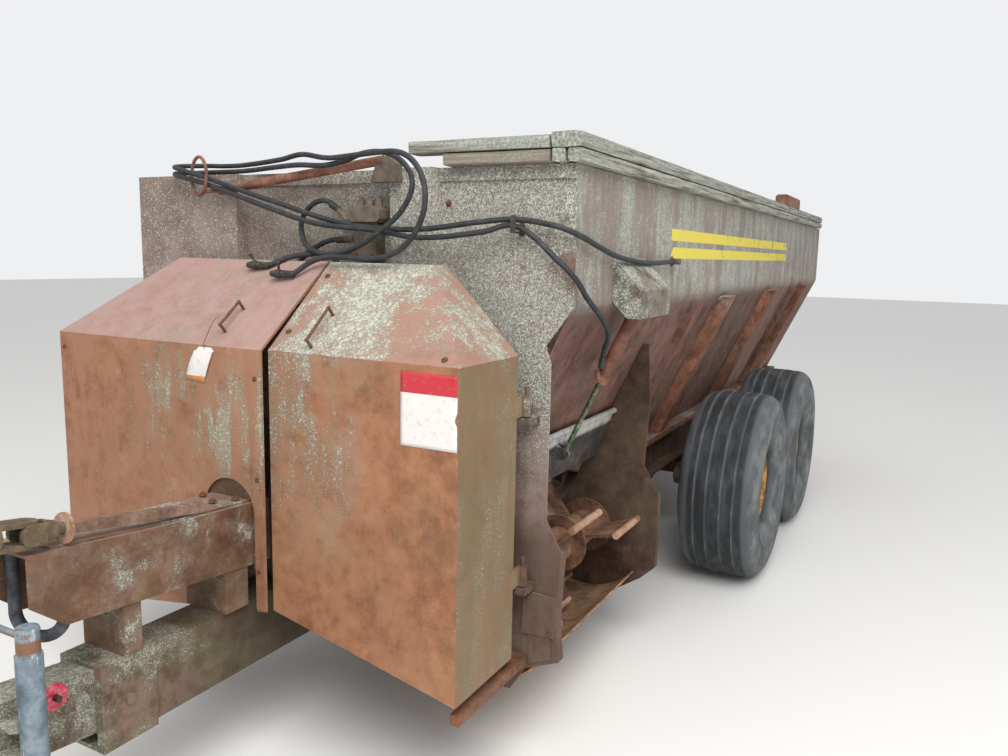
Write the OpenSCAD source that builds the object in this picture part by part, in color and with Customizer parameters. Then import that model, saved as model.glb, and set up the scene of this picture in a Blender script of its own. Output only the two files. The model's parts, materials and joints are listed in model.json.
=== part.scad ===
/* [Tank] */
// Width of the tank over its upper side panels
tank_w = 2000; // [1600:10:2400]
// Length of the tank from its front wall to its rear wall
tank_l = 5600; // [4800:50:6400]
// Height of the tank's steel rim above the ground
rim_z = 2070; // [1950:10:2200]
// Height of the fold between the upright and the slanting side sheet
fold_z = 1610; // [1560:10:1700]
// Height of the slanting side's foot
foot_z = 785; // [740:5:820]
// Distance of the slanting side's foot from the middle
foot_x = 620; // [600:5:660]
// Thickness of the tank's sheets
sheet_t = 8; // [5:1:12]
// Width of a rib on the slanting side
rib_w = 150; // [80:5:200]
// How far a rib stands off the slanting side
rib_d = 55; // [30:5:80]
// Thickness of one layer of the top boards
board_t = 45; // [30:5:60]
// Width of the top boards
board_w = 105; // [80:5:140]

/* [Discharge] */
// Length of the discharge chute along the tank
chute_l = 1020; // [900:10:1150]
// Distance of the chute plates' outer edge from the middle
chute_x = 985; // [960:5:1020]
// Distance of the rotor's axis from the middle
rotor_x = 670; // [650:5:690]
// Height of the rotor's axis
rotor_z = 540; // [520:5:560]
// Radius that the rotor's hammers sweep
rotor_r = 280; // [250:5:290]
// Diameter of the rotor's shaft
rotor_shaft_d = 60; // [50:1:80]
// Width of the gate from its hinge to its free edge
gate_w = 220; // [150:10:240]
// Diameter of the gate cylinder's barrel
barrel_d = 48; // [40:1:60]
// Diameter of the gate cylinder's rod
rod_d = 20; // [16:1:30]

/* [Augers] */
// Radius of the auger flights
flight_r = 235; // [200:5:240]
// Distance of each auger from the middle
auger_x = 285; // [265:5:300]
// Height of the augers' axes
auger_z = 780; // [770:5:820]
// Diameter of the auger tubes
auger_tube_d = 114; // [90:2:140]
// Distance that a flight advances in one turn
flight_pitch = 450; // [350:10:600]

/* [Front covers] */
// Outer edge of the left cover, from the middle
cover_edge_left = 860; // [800:5:900]
// Outer edge of the right cover, from the middle
cover_edge_right = 905; // [850:5:940]
// Place of the seam between the covers, from the middle
seam_x = 125; // [100:5:160]
// Distance of the covers' front from the tank's front wall
cover_depth = 480; // [440:5:520]
// Height of the bend where the covers' top starts to slope
cover_bend_z = 1455; // [1400:5:1500]
// Height of the covers' ridge
cover_ridge_z = 1740; // [1690:5:1780]
// Thickness of the covers' sheet
cover_t = 6; // [4:1:8]

/* [Running gear] */
// Diameter of the tyres
tyre_d = 1040; // [960:10:1080]
// Width of the tyres
tyre_w = 420; // [340:10:440]
// Diameter of the rims at their flanges
rim_d = 457; // [400:1:480]
// Distance of the tyres' outer faces from the middle
track_x = 1305; // [1280:5:1400]
// Distance of the front axle behind the tank's front wall
front_axle_y = 2200; // [2100:10:2400]
// Distance between the two axles
axle_gap = 1170; // [1120:10:1250]

/* [Tongue] */
// Place of the tongue's middle, from the tank's middle
tongue_x = -35; // [-60:5:0]
// Distance of the hitch pin in front of the tank
hitch_y = 1790; // [1600:10:2000]
// Diameter of the hitch pin's bore
hitch_bore_d = 33; // [26:1:40]
// Slope of the inner hitch tube, in degrees, rising forwards
hitch_rise = 6; // [0:0.5:8]
// Height of the driveline channel's top at the covers
channel_z = 930; // [900:5:980]
// Width of the driveline channel
channel_w = 200; // [160:5:220]
// Diameter of the jack's outer tube
jack_d = 66; // [50:1:70]
// Height of the jack's foot plate above the ground as parked
jack_lift = 0; // [0:1:20]

/* [Hoses] */
// Outside diameter of the hydraulic hoses
hose_d = 19; // [13:1:25]

/* [Hidden] */
$fn = 64;

half_w = tank_w / 2;
hitch_tip = 60;
hitch_plate_out = 65;
front_reach = hitch_tip * cos(hitch_rise) + hitch_plate_out * sin(hitch_rise);
rear_reach = 50;
mid_y = (tank_l + rear_reach - hitch_y - front_reach) / 2;
slope = (half_w - foot_x) / (fold_z - foot_z);
seat = 0.5;
fit = 0.1;
trough_r = flight_r + 15;
housing_r = rotor_r + 20;

flight_in = auger_tube_d / 2 - 4;
flight_t = 12;
flight_sides = 12;

hinge_z = 1090;
gate_pin_d = 24;
cover_hinge_x = cover_edge_left + 12;
cover_hinge_y = -62;
hinge_zs = [660, 1250];
hinge_x = half_w - (fold_z - hinge_z) * slope + 20;
gate_lean = 16;
gate_y0 = 25;
gate_y1 = chute_l - 25;

beam_y = front_axle_y + axle_gap / 2;
beam_z = 430;
beam_w = 90;
beam_x = track_x - tyre_w - 45 - beam_w;
wheel_r = tyre_d / 2;
spindle_d = 80;

// Puts what is drawn from the tank's front wall into the part's own frame
module placed() {
    translate([0, -mid_y, 0]) children();
}

// Extrudes an X-Z outline along Y from y0 to y1
module along_y(y0, y1) {
    translate([0, y1, 0]) rotate([90, 0, 0]) linear_extrude(y1 - y0) children();
}

// Extrudes a Y-Z outline along X from x0 to x1
module along_x(x0, x1) {
    translate([x0, 0, 0]) rotate([90, 0, 90]) linear_extrude(x1 - x0) children();
}

// A block between two corners
module block(low, high) {
    translate(low) cube(high - low);
}

// A cylinder along Y with its start at y0
module bar_y(x, y0, y1, z, d) {
    translate([x, y1, z]) rotate([90, 0, 0]) cylinder(h = y1 - y0, d = d);
}

// A cylinder along X with its start at x0
module bar_x(x0, x1, y, z, d) {
    translate([x0, y, z]) rotate([0, 90, 0]) cylinder(h = x1 - x0, d = d);
}

// Places its child on the slanting side: x along the slope downwards, z out of the sheet
module on_slope(side, y) {
    lean = atan(slope);
    mirror([side < 0 ? 1 : 0, 0, 0]) translate([half_w, y, fold_z]) rotate([0, 90 + lean, 0]) children();
}

// The front wall's outline: upright, fold, slant, then the discharge housing's wavy edge
wall_outline = [[-half_w, rim_z], [-half_w, fold_z], [-foot_x, foot_z], [-foot_x, 560], [-555, 480],
    [300, 480], [420, 230], [800, 230], [chute_x - 125, 325], [chute_x + 2, 377], [chute_x - 10, 515],
    [chute_x - 5, 640], [chute_x + 2, 770], [925, 880], [925, 1420], [905, 1480], [half_w, fold_z], [half_w, rim_z]];
panel_out = 50;
panel_z = 1230;
lip_t = 8;

// A lip turned rearwards along the lower free edge of a chute plate
module edge_lip(edge, y0, y1) {
    along_y(y0, y1) polygon(concat(edge, [for (i = [len(edge) - 1:-1:0]) edge[i] - [lip_t, 0]]));
}

// One upright panel of the front wall, folded forwards at its edges
module proud_panel(x0, x1, bevel) {
    translate([0, 0, panel_z]) linear_extrude(rim_z - panel_z)
        polygon([[x0, seat], [x0 + bevel, -panel_out], [x1 - bevel, -panel_out], [x1, seat]]);
}

module front_wall() {
    color("#8b6f63") placed() difference() {
        union() {
            along_y(0, sheet_t) polygon(wall_outline);
            proud_panel(-half_w, -430, 4);
            proud_panel(295, 490, 12);
            block([-half_w, -10, rim_z - 45], [half_w, seat, rim_z]);
            edge_lip([[chute_x + 2, 377], [chute_x - 10, 515], [chute_x - 5, 640], [chute_x + 2, 770]],
                sheet_t - seat, sheet_t + 35);
            along_y(-10, seat) polygon([[845, 461], [chute_x - 12, 466], [chute_x - 8, 612], [852, 617]]);
            along_y(-5, seat) polygon([[872, 470], [chute_x - 30, 470], [chute_x - 22, 385], [872, 345]]);
        }
        bar_y(rotor_x, -11, sheet_t + 1, rotor_z, rotor_shaft_d + 2 * fit);
        bar_y(hinge_x, -1, sheet_t + 1, hinge_z, gate_pin_d + 2 * fit);
        for (x = [-auger_x, auger_x]) bar_y(x, -1, sheet_t + 1, auger_z, auger_tube_d + 2 * fit);
        block([tongue_x - 75, -1, 300], [tongue_x + 75, sheet_t + 1, 580]);
    }
}

bearing_d = 190;

module rear_wall() {
    color("#7d4a38") placed() difference() {
        union() {
            along_y(tank_l - sheet_t, tank_l) polygon([[-half_w, rim_z], [-half_w, fold_z], [-foot_x, foot_z],
                [-foot_x, 560], [-400, 500], [400, 500], [foot_x, 560], [foot_x, foot_z], [half_w, fold_z],
                [half_w, rim_z]]);
            for (z = [rim_z - 70, fold_z - 40]) along_x(-half_w + 40, half_w - 40)
                polygon([[tank_l - seat, z], [tank_l + rear_reach, z + 12], [tank_l + rear_reach, z + 58], [tank_l - seat, z + 70]]);
            for (x = [-370, 370]) translate([x, tank_l, 1000]) linear_extrude(fold_z - 1020)
                polygon([[-45, -seat], [-30, rear_reach - 6], [30, rear_reach - 6], [45, -seat]]);
            for (x = [-auger_x, auger_x]) {
                bar_y(x, tank_l - seat, tank_l + 12, auger_z, bearing_d);
                bar_y(x, tank_l, tank_l + 34, auger_z, bearing_d - 40);
            }
        }
        for (x = [-auger_x, auger_x]) bar_y(x, tank_l - sheet_t - 1, tank_l + 35, auger_z, auger_tube_d + 2 * fit);
    }
}

rib_ys = [2090, 3350, 4740];
thin_rib_ys = [1500, 4300];
rib_top = 1575;
rib_cap = 1044;
ledge_w = 70;

// One hat-section rib on the slanting side, cut level at its head and on the ledge
module rib(side, y) {
    run = (fold_z - foot_z) / cos(atan(slope));
    difference() {
        on_slope(side, y - rib_w / 2) rotate([90, 0, 90]) linear_extrude(run + 40)
            polygon([[0, -seat], [18, rib_d], [rib_w - 18, rib_d], [rib_w, -seat]]);
        translate([-1500, y - rib_w, rib_top]) cube([3000, 2 * rib_w, 500]);
        translate([-1500, y - rib_w, foot_z - 500]) cube([3000, 2 * rib_w, 500]);
    }
    mirror([side < 0 ? 1 : 0, 0, 0]) block([half_w - 18, y - rib_w / 2, rib_top - seat], [rib_cap, y + rib_w / 2, rib_top + 8]);
}

// A flat bar on edge that tapers down the slant and runs up over the fold
module thin_rib(side, y) {
    mirror([side < 0 ? 1 : 0, 0, 0]) along_y(y - 6, y + 6) polygon([[half_w - 2, fold_z + 50], [half_w + 14, fold_z + 50],
        [half_w + 30, fold_z - 20], [foot_x + 45, foot_z - seat], [foot_x - 2, foot_z - seat], [half_w - 2, fold_z - 4]]);
}

module side_sheet(side, slant_from) {
    mirror([side < 0 ? 1 : 0, 0, 0]) {
        block([half_w - sheet_t, sheet_t, fold_z], [half_w, tank_l - sheet_t, rim_z]);
        along_y(sheet_t, tank_l - sheet_t) polygon([[half_w - 40, rim_z], [half_w, rim_z], [half_w, rim_z - 45],
            [half_w - sheet_t, rim_z - 45], [half_w - sheet_t, rim_z - 8], [half_w - 40, rim_z - 8]]);
        along_y(slant_from, tank_l - sheet_t) polygon([[half_w, fold_z], [half_w, fold_z + 10],
            [half_w - sheet_t, fold_z + 10], [half_w - sheet_t, fold_z], [foot_x - sheet_t, foot_z],
            [foot_x - sheet_t, foot_z - 20], [foot_x + ledge_w, foot_z - 20], [foot_x + ledge_w, foot_z], [foot_x, foot_z]]);
    }
}

module side_left() {
    color("#9a7f7c") placed() {
        side_sheet(1, chute_l + sheet_t);
        along_y(sheet_t, chute_l + sheet_t) polygon([[half_w, fold_z], [half_w, fold_z + 10],
            [half_w - sheet_t, fold_z + 10], [half_w - sheet_t, fold_z], [hinge_x - 20 - sheet_t, hinge_z + 10],
            [hinge_x - 20, hinge_z + 10]]);
        for (y = rib_ys) rib(1, y);
        for (y = thin_rib_ys) thin_rib(1, y);
    }
}

module side_right() {
    color("#8a5a4a") placed() {
        side_sheet(-1, sheet_t);
        for (y = concat([800], rib_ys)) rib(-1, y);
        for (y = thin_rib_ys) thin_rib(-1, y);
    }
}

// The W-shaped floor under the two augers, between the frame rails
module auger_trough() {
    color("#6e4436") placed() {
        along_y(chute_l + sheet_t, tank_l - sheet_t) trough_outline();
        along_y(sheet_t, chute_l + 2 * sheet_t) intersection() {
            trough_outline();
            translate([-half_w, 0]) square([half_w + auger_x - trough_r, rim_z]);
        }
    }
}

module trough_outline() {
    edge = auger_x + trough_r;
    for (x = [-auger_x, auger_x]) translate([x, auger_z]) difference() {
        circle(r = trough_r + sheet_t);
        circle(r = trough_r);
        translate([-trough_r - 20, 0]) square([2 * trough_r + 40, trough_r + 20]);
    }
    for (side = [0, 1]) mirror([side, 0]) translate([edge, auger_z - sheet_t]) square([foot_x - sheet_t - edge, sheet_t]);
    translate([trough_r - auger_x, auger_z - sheet_t]) square([2 * (auger_x - trough_r), sheet_t]);
}

// Corners of the rear chute plate's outer edge, from its foot upwards
chute_edge = [[chute_x + 18, 382], [chute_x + 23, 563], [chute_x + 19, 735]];

module chute_rear_plate() {
    color("#7f4a38") placed() difference() {
        union() {
            along_y(chute_l, chute_l + sheet_t) polygon(concat([[foot_x, foot_z], [foot_x - 120, 560], [foot_x - 120, 230],
                [800, 230], [chute_x - 46, 321]], chute_edge, [[933, 850], [946, 1153], [929, 1402],
                [half_w - (fold_z - 1402) * slope, 1402]]));
            edge_lip(chute_edge, chute_l + sheet_t - seat, chute_l + sheet_t + 35);
        }
        bar_y(rotor_x, chute_l - 1, chute_l + sheet_t + 1, rotor_z, rotor_shaft_d + 2 * fit);
        bar_y(hinge_x, chute_l - 1, chute_l + sheet_t + 1, hinge_z, gate_pin_d + 2 * fit);
    }
}

lip_angle = 40;

// A slide plate from the augers' trough down into the rotor's round housing
module rotor_trough() {
    start = rotor_x - housing_r;
    color("#7a5648") placed() along_y(sheet_t, chute_l) {
        polygon([[auger_x - trough_r, auger_z], [start, rotor_z], [start, rotor_z - 30], [start - sheet_t, rotor_z - 30],
            [start - sheet_t, rotor_z], [auger_x - trough_r, auger_z - sheet_t]]);
        translate([rotor_x, rotor_z]) intersection() {
            difference() {
                circle(r = housing_r + sheet_t);
                circle(r = housing_r);
            }
            polygon([[0, 0], [-400, 0], [-400, -400], [400, -400], [400, -400 * tan(lip_angle)]]);
        }
    }
}

module board_front() {
    color("#8f8b7c") placed() {
        translate([0, 0, rim_z]) linear_extrude(board_t - 2)
            polygon([[545, -58], [570, -61], [half_w - board_w, -55], [half_w - board_w, 36], [560, 38], [532, 33]]);
        translate([0, 0, rim_z + board_t - 2]) linear_extrude(board_t)
            polygon([[388, -56], [640, -64], [half_w - board_w + 4, -66], [half_w - board_w + 4, 34], [396, 38]]);
    }
}

// Two narrow planks side by side with one wide plank on top
module board_left() {
    edge = half_w + 35;
    color("#8f8b7c") placed() {
        translate([0, 0, rim_z]) linear_extrude(board_t) {
            polygon([[edge - board_w, -58], [edge - 56, -62], [edge - 54, tank_l - 120], [edge - board_w, tank_l - 130]]);
            polygon([[edge - 51, -60], [edge - 1, -56], [edge - 2, tank_l - 124], [edge - 50, tank_l - 120]]);
        }
        translate([0, 0, rim_z + board_t]) linear_extrude(board_t + 5)
            polygon([[edge - board_w - 1, -64], [edge, -62], [edge, tank_l - 140], [edge - board_w, tank_l - 132]]);
    }
}

cross_ys = [1060, 1900, 3700, 4700, tank_l - sheet_t - 80];
rail_z = 565;

// One side rail: a channel section that opens outwards
module rail(side, y0) {
    top = foot_z - 20;
    mirror([side < 0 ? 1 : 0, 0, 0]) along_y(y0, tank_l - sheet_t) polygon([[foot_x - 10, rail_z], [foot_x + 75, rail_z],
        [foot_x + 75, rail_z + 10], [foot_x, rail_z + 10], [foot_x, top - 10], [foot_x + 75, top - 10],
        [foot_x + 75, top], [foot_x - 10, top]]);
}

// A square tube across the frame with a gusset up to each rail
module cross_member(y) {
    along_x(-foot_x - 40, foot_x + 40) difference() {
        translate([y, 400]) square([80, 100]);
        translate([y + 8, 408]) square([64, 84]);
    }
    for (s = [0, 1]) mirror([s, 0, 0]) along_y(y, y + 80) polygon([[foot_x - 90, 499], [foot_x + 40, 499],
        [foot_x + 70, rail_z + 1], [foot_x - 20, rail_z + 1]]);
}

module frame() {
    color("#6b4134") placed() {
        rail(1, chute_l + 50);
        rail(-1, 20);
        for (y = cross_ys) cross_member(y);
        block([-foot_x, 20, 345], [350, 100, 475]);
        block([-foot_x, 20, 474], [-foot_x + 60, 100, rail_z + 1]);
        difference() {
            block([tongue_x - 75, 99, 400], [tongue_x + 75, cross_ys[0] + 1, 500]);
            block([tongue_x - 67, 108, 408], [tongue_x + 67, cross_ys[0] - 8, 492]);
        }
        bar_x(-beam_x, beam_x, beam_y, beam_z, 120);
        for (s = [0, 1]) mirror([s, 0, 0]) along_x(foot_x - 30, foot_x) polygon([[beam_y - 190, rail_z + 1],
            [beam_y - 95, beam_z - 40], [beam_y - 50, beam_z - 80], [beam_y + 50, beam_z - 80], [beam_y + 95, beam_z - 40],
            [beam_y + 190, rail_z + 1]]);
    }
}

tube_top = 580;
tube_foot = 345;
tube_end = -920;
sleeve_top = 600;

// The main tube, closed at its front end, with the sleeve that takes the inner hitch tube
module tongue() {
    color("#7d5040") placed() {
        difference() {
            block([tongue_x - 75, tube_end, tube_foot], [tongue_x + 75, 20, tube_top]);
            block([tongue_x - 65, tube_end + 12, tube_foot + 10], [tongue_x + 65, 21, tube_top - 10]);
        }
        difference() {
            block([tongue_x - 90, -1080, tube_foot - 10], [tongue_x + 90, tube_end + 25, sleeve_top]);
            block([tongue_x - 61, -1081, tube_foot + 3], [tongue_x + 61, tube_end, sleeve_top - 10]);
            block([tongue_x - 75 + seat, tube_end - 1, tube_foot + seat], [tongue_x + 75 - seat, tube_end + 26, tube_top - seat]);
        }
        for (s = [-1, 1]) bar_x(tongue_x + s * 95 - 6, tongue_x + s * 95 + 6, -990, 470, 36, $fn = 6);
    }
}

// Places its child at the hitch pin's centre, turned with the inner tube's slope
module at_pin() {
    pin_z = 489 + (hitch_y - 1050) * tan(hitch_rise);
    translate([tongue_x, -hitch_y, pin_z]) rotate([-hitch_rise, 0, 0]) children();
}

module hitch() {
    color("#7d5040") placed() {
        difference() {
            at_pin() {
                difference() {
                    block([-60, 180, -95], [60, 900, 95]);
                    block([-50, 196, -85], [50, 901, 85]);
                }
                for (s = [-1, 1]) difference() {
                    translate([0, 0, s * 50 - 15]) linear_extrude(30) union() {
                        circle(r = hitch_tip);
                        translate([-hitch_tip, 0]) square([2 * hitch_tip, 181]);
                    }
                    translate([0, 0, -70]) cylinder(h = 140, d = hitch_bore_d);
                }
                for (s = [-1, 1]) along_y(120, 181) polygon([[s * 48, -64], [s * 60, -64], [s * 60, 64], [s * 48, 64]]);
            }
            block([tongue_x - 100, tube_end, 100], [tongue_x + 100, 100, 900]);
        }
        bar_x(tongue_x + 60 - seat, tongue_x + 118, knob_y, knob_z, knob_bore);
        for (z = [-40, 35]) translate([tongue_x + 60 - seat, jack_y - 45, jack_lug_z + z])
            linear_extrude(8) difference() {
                polygon([[0, 0], [0, 90], [jack_gap, 90], [jack_gap + jack_d / 2 + 12, 60],
                    [jack_gap + jack_d / 2 + 12, 30], [jack_gap, 0]]);
                translate([jack_gap + jack_d / 2 + seat, 45]) circle(d = jack_d + 2 * fit);
            }
    }
}

knob_y = -1220;
knob_z = 585;
knob_bore = 18;
jack_gap = 52;
jack_lug_z = 520;
jack_x = tongue_x + 60 + jack_gap + jack_d / 2;
jack_y = -1310;

channel_near = -420;
channel_knee = -870;
channel_far = -1272;

// Height of the channel's top at a place y
function channel_top(y) = y > channel_knee ? channel_z + (channel_near - y) * 26 / (channel_near - channel_knee)
    : channel_z + 26 + (channel_knee - y) * 38 / (channel_knee - channel_far);

// A post that stands on the tongue and goes up inside the channel, open to the rear
module channel_post(y, foot, top, depth) {
    half = channel_w / 2 - 8 + seat;
    translate([tongue_x, y, foot]) linear_extrude(top - foot) difference() {
        translate([-half, 0]) square([2 * half, depth]);
        translate([-half + 8, 8]) square([2 * half - 16, depth]);
    }
}

module driveline_channel() {
    color("#8a5644") placed() {
        difference() {
            along_x(tongue_x - channel_w / 2, tongue_x + channel_w / 2) polygon([[channel_near, channel_z],
                [channel_knee, channel_top(channel_knee)], [channel_far, channel_top(channel_far)],
                [channel_far, channel_z - 78], [channel_far + 96, channel_z - 158], [channel_near, channel_z - 218]]);
            along_x(tongue_x - channel_w / 2 + 8, tongue_x + channel_w / 2 - 8) polygon([[channel_near + 1, channel_z - 8],
                [channel_knee, channel_top(channel_knee) - 8], [channel_far - 1, channel_top(channel_far) - 8],
                [channel_far - 1, 600], [channel_near + 1, 600]]);
        }
        along_x(tongue_x - 90, tongue_x + 85) polygon([[-460, channel_top(-460) - seat], [channel_knee, channel_top(channel_knee) - seat],
            [-1200, channel_top(-1200) - seat], [-1200, channel_top(-1200) + cap_t], [channel_knee, channel_top(channel_knee) + cap_t],
            [-460, channel_top(-460) + cap_t]]);
        channel_post(-1000, sleeve_top, 860, 60);
        channel_post(-620, tube_top, 840, 100);
    }
}

cap_t = 6;
shaft_x = tongue_x + 75;
shaft_lean = 8;
stop_d = 85;
bar_w = 30;
bar_l = 466;

// The tractor's end of the driveline, laid on the channel: square bar, stop disc and two yokes
module stored_shaft() {
    color("#6f5a4a") placed() translate([shaft_x, -1152, 1031.6]) rotate([90 - shaft_lean, 0, 0]) {
        translate([-bar_w / 2, -bar_w / 2, -bar_l]) cube([bar_w, bar_w, bar_l]);
        translate([0, 0, -4]) cylinder(h = 8, d = stop_d);
        cylinder(h = 30, d = 34);
        translate([0, 0, 28]) cylinder(h = 40, d1 = 50, d2 = 66);
        for (s = [0, 1]) mirror([s, 0, 0]) translate([22, 0, 66]) rotate([90, 0, 90]) linear_extrude(14) {
            translate([-28, 0]) square([56, 40]);
            translate([0, 40]) circle(r = 28);
        }
        translate([0, 0, 106]) rotate([0, 90, 0]) cylinder(h = 74, d = 24, center = true);
        translate([0, 0, 106]) rotate([90, 0, 0]) cylinder(h = 74, d = 24, center = true);
        translate([0, 0, 60]) cylinder(h = 8, d = 66);
        for (s = [0, 1]) mirror([0, s, 0]) translate([0, -22, 106]) rotate([90, 0, 0]) linear_extrude(14) {
            circle(r = 28);
            translate([-28, 0]) square([56, 80]);
        }
        translate([0, 0, 184]) cylinder(h = 44, d = 76);
        translate([0, 0, 227]) cylinder(h = 16, d1 = 60, d2 = 50);
    }
}

boom_low = [-490, -80, 2005];
boom_high = [303, -80, 2095];
ring_c = [-570, -110, 2060];
ring_r = 73;
ring_turn = -20;

// A round bar between two points in space
module strut(a, b, d) {
    v = b - a;
    translate(a) rotate([0, acos(v[2] / norm(v)), atan2(v[1], v[0])]) cylinder(h = norm(v), d = d);
}

// The boom that carries the hoses, with a ring at its end for them to pass through
module hose_boom() {
    color("#7d4c3a") placed() {
        strut(boom_high, boom_low, 34);
        strut(boom_low + [8, 0, 1], [-536, -122, 1997], 14);
        translate(ring_c) rotate([90, 0, ring_turn]) rotate_extrude() translate([ring_r, 0]) circle(d = 13);
        along_y(-panel_out - 40, -panel_out) polygon([[250, rim_z - 50], [360, rim_z - 50], [360, rim_z + 12],
            [325, rim_z + 38], [285, rim_z + 38]]);
    }
}

valve_y = -60;
valve_out = [125, valve_y, 1890];
port_low_z = 1822;

module valve_block() {
    color("#74655a") placed() {
        along_y(-60, 0) polygon([[150, 1750], [250, 1750], [250, 1886], [150, 1886]]);
        along_y(-84, -6) polygon([[147, 1896], [159, 1884], [272, 1884], [284, 1896], [284, 1926], [270, 1940], [161, 1940], [147, 1926]]);
        for (x = [176, 216, 256]) translate([x, -44, 1939]) {
            cylinder(h = 24, d = 28);
            translate([0, 0, 22]) cylinder(h = 14, d = 18, $fn = 6);
        }
        bar_x(valve_out[0], 150, valve_y, valve_out[2], 22);
        strut(valve_out, [88, valve_y, valve_out[2] + 37], 25);
        bar_x(118, 151, valve_y, port_low_z, 25);
    }
}

hook_foot = 1854;

// A folded strap that holds both hoses at the wall's corner
module hose_clip() {
    color("#4a4642") placed() along_x(798, 818) polygon([[0, hook_foot - 14], [0, hook_foot + 42], [-5, hook_foot + 42],
        [-5, hook_foot], [-65, hook_foot], [-65, hook_foot + 52], [-70, hook_foot + 52], [-70, hook_foot - 5],
        [-5, hook_foot - 5], [-5, hook_foot - 14]]);
}

// The elbow that comes through the side wall behind the hood
module side_fitting() {
    color("#74655a") placed() {
        bar_x(half_w, half_w + 8, 1050, 1765, 44, $fn = 6);
        bar_x(half_w + 7, half_w + 42, 1050, 1765, 26);
        bar_y(half_w + 30, 1003, 1050, 1765, 25);
    }
}

// A folded sheet box on the left boards
module top_bracket() {
    low = rim_z + 2 * board_t + 5;
    color("#6d4030") placed() difference() {
        along_y(3700, 4200) polygon([[half_w - 62, low], [half_w - 62, low + 66], [half_w - 46, low + 78],
            [half_w + 14, low + 78], [half_w + 30, low + 66], [half_w + 30, low]]);
        along_y(3706, 4194) polygon([[half_w - 57, low - 1], [half_w - 57, low + 64], [half_w - 44, low + 73],
            [half_w + 12, low + 73], [half_w + 25, low + 64], [half_w + 25, low - 1]]);
    }
}

hood_t = 6;
hood_y0 = 350;
hood_y1 = 700;
hood_x = half_w + 110;

// The bent hood over the gate cylinder's head, with its two ears
module cylinder_bracket() {
    color("#8f857c") placed() difference() {
        union() {
            along_y(hood_y0, hood_y1) polygon([[half_w, 1775], [hood_x, 1660], [hood_x, 1560], [hood_x - hood_t, 1560],
                [hood_x - hood_t, 1657], [half_w, 1766]]);
            for (y = [hood_y0, hood_y1 - hood_t]) along_y(y, y + hood_t)
                polygon([[half_w, 1770], [hood_x - 2, 1658], [hood_x - 2, 1560], [half_w + 60, 1560], [half_w, 1620]]);
            for (y = [cyl_y - 36, cyl_y + 26]) along_y(y, y + 10) polygon([[half_w, 1620], [half_w + 45, top_z - 28],
                [hood_x - hood_t, top_z - 28], [hood_x - hood_t, 1657.5], [half_w, 1766.5]]);
        }
        bar_y(top_x, cyl_y - 40, cyl_y + 40, top_z, 20 + 2 * fit);
    }
}

// Gearbox, chain cases and sprocket covers behind the front covers, closed housings
module drive_block() {
    color("#5c4a40") placed() {
        along_y(-330, -30) polygon([[-250, 640], [-210, 600], [400, 600], [450, 650], [450, 960], [330, 1060], [60, 1150],
            [-160, 1150], [-250, 1060]]);
        bar_y(tongue_x, -400, -329, 830, 190);
        bar_y(tongue_x, -412, -399, 830, 60);
        for (x = [-auger_x, auger_x]) bar_y(x, -60, -30, auger_z, 330);
        block([tongue_x - 75, -320, tube_top], [tongue_x + 75, -100, 601]);
        along_y(-140, -30) polygon([[430, 860], [560, 760], [760, 660], [810, 580], [800, 480], [740, 425], [610, 425], [540, 500],
            [430, 640]]);
        for (x = [545, 775]) block([x, -31, 480], [x + 20, 0, 580]);
        for (x = [-120, 60]) block([x, -31, 1040], [x + 30, 0, 1110]);
    }
}

module cover_rail() {
    color("#7d4c3a") placed() {
        for (x = [-cover_edge_right - 5, cover_edge_left - 30]) block([x, -cover_depth + 20, 340], [x + 35, 0, 375]);
        block([-cover_edge_right, -30, 340], [tongue_x - 75, 0, 375]);
        block([tongue_x + 75, -30, 340], [cover_edge_left, 0, 375]);
        for (z = hinge_zs) {
            translate([cover_hinge_x, cover_hinge_y, z - 30]) cylinder(h = 130, d = 16);
            block([cover_hinge_x - 20, cover_hinge_y - 20, z - 30], [cover_hinge_x + 20, 0, z - 6]);
        }
    }
}

cover_ridge_y = -165;

// The covers' outline from the side, drawn a little smaller by inset
function cover_side(inset, front) = [[-front + inset, 300], [-front + inset, cover_bend_z - 0.4 * inset],
    [cover_ridge_y, cover_ridge_z - 1.3 * inset], [inset > 0 ? 20 : -110, cover_ridge_z - 1.3 * inset], [inset > 0 ? 20 : -110, 300]];

ridge_in = 277;
seam_lip = 560;
edge_lip_z = 410;
deeper = 25;

module cover_shell(x_seam, x_edge, front, dir) {
    difference() {
        intersection() {
            along_x(min(x_seam, x_edge), max(x_seam, x_edge)) polygon(cover_side(0, front));
            along_y(-front - 1, 0) polygon([[x_seam, seam_lip], [x_edge, edge_lip_z], [x_edge, cover_bend_z],
                [x_edge - dir * ridge_in, cover_ridge_z], [x_seam, cover_ridge_z]]);
        }
        intersection() {
            along_x(min(x_seam - dir, x_edge), max(x_seam - dir, x_edge)) polygon(cover_side(cover_t, front));
            along_y(-front - 2, 30) polygon([[x_seam - dir * 2, 300], [x_edge - dir * cover_t, 300],
                [x_edge - dir * cover_t, cover_bend_z - 2], [x_edge - dir * (ridge_in + 2), cover_ridge_z - cover_t],
                [x_seam - dir * 2, cover_ridge_z - cover_t]]);
        }
    }
}

// A bent rod handle on a cover's slope, between two places measured up the slope
module slope_handle(x, front, low, high) {
    tilt = atan((cover_ridge_z - cover_bend_z) / (front + cover_ridge_y));
    translate([x, -front, cover_bend_z]) rotate([tilt, 0, 0]) {
        for (y = [low, high]) translate([0, y, -3]) cylinder(h = 43, d = 10);
        translate([0, low - 5, 36]) rotate([-90, 0, 0]) cylinder(h = high - low + 10, d = 10);
    }
}

// The arch over the driveline channel: its radius and the height of its centre
arch_r = 118;
arch_z = channel_z - 42;

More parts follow.
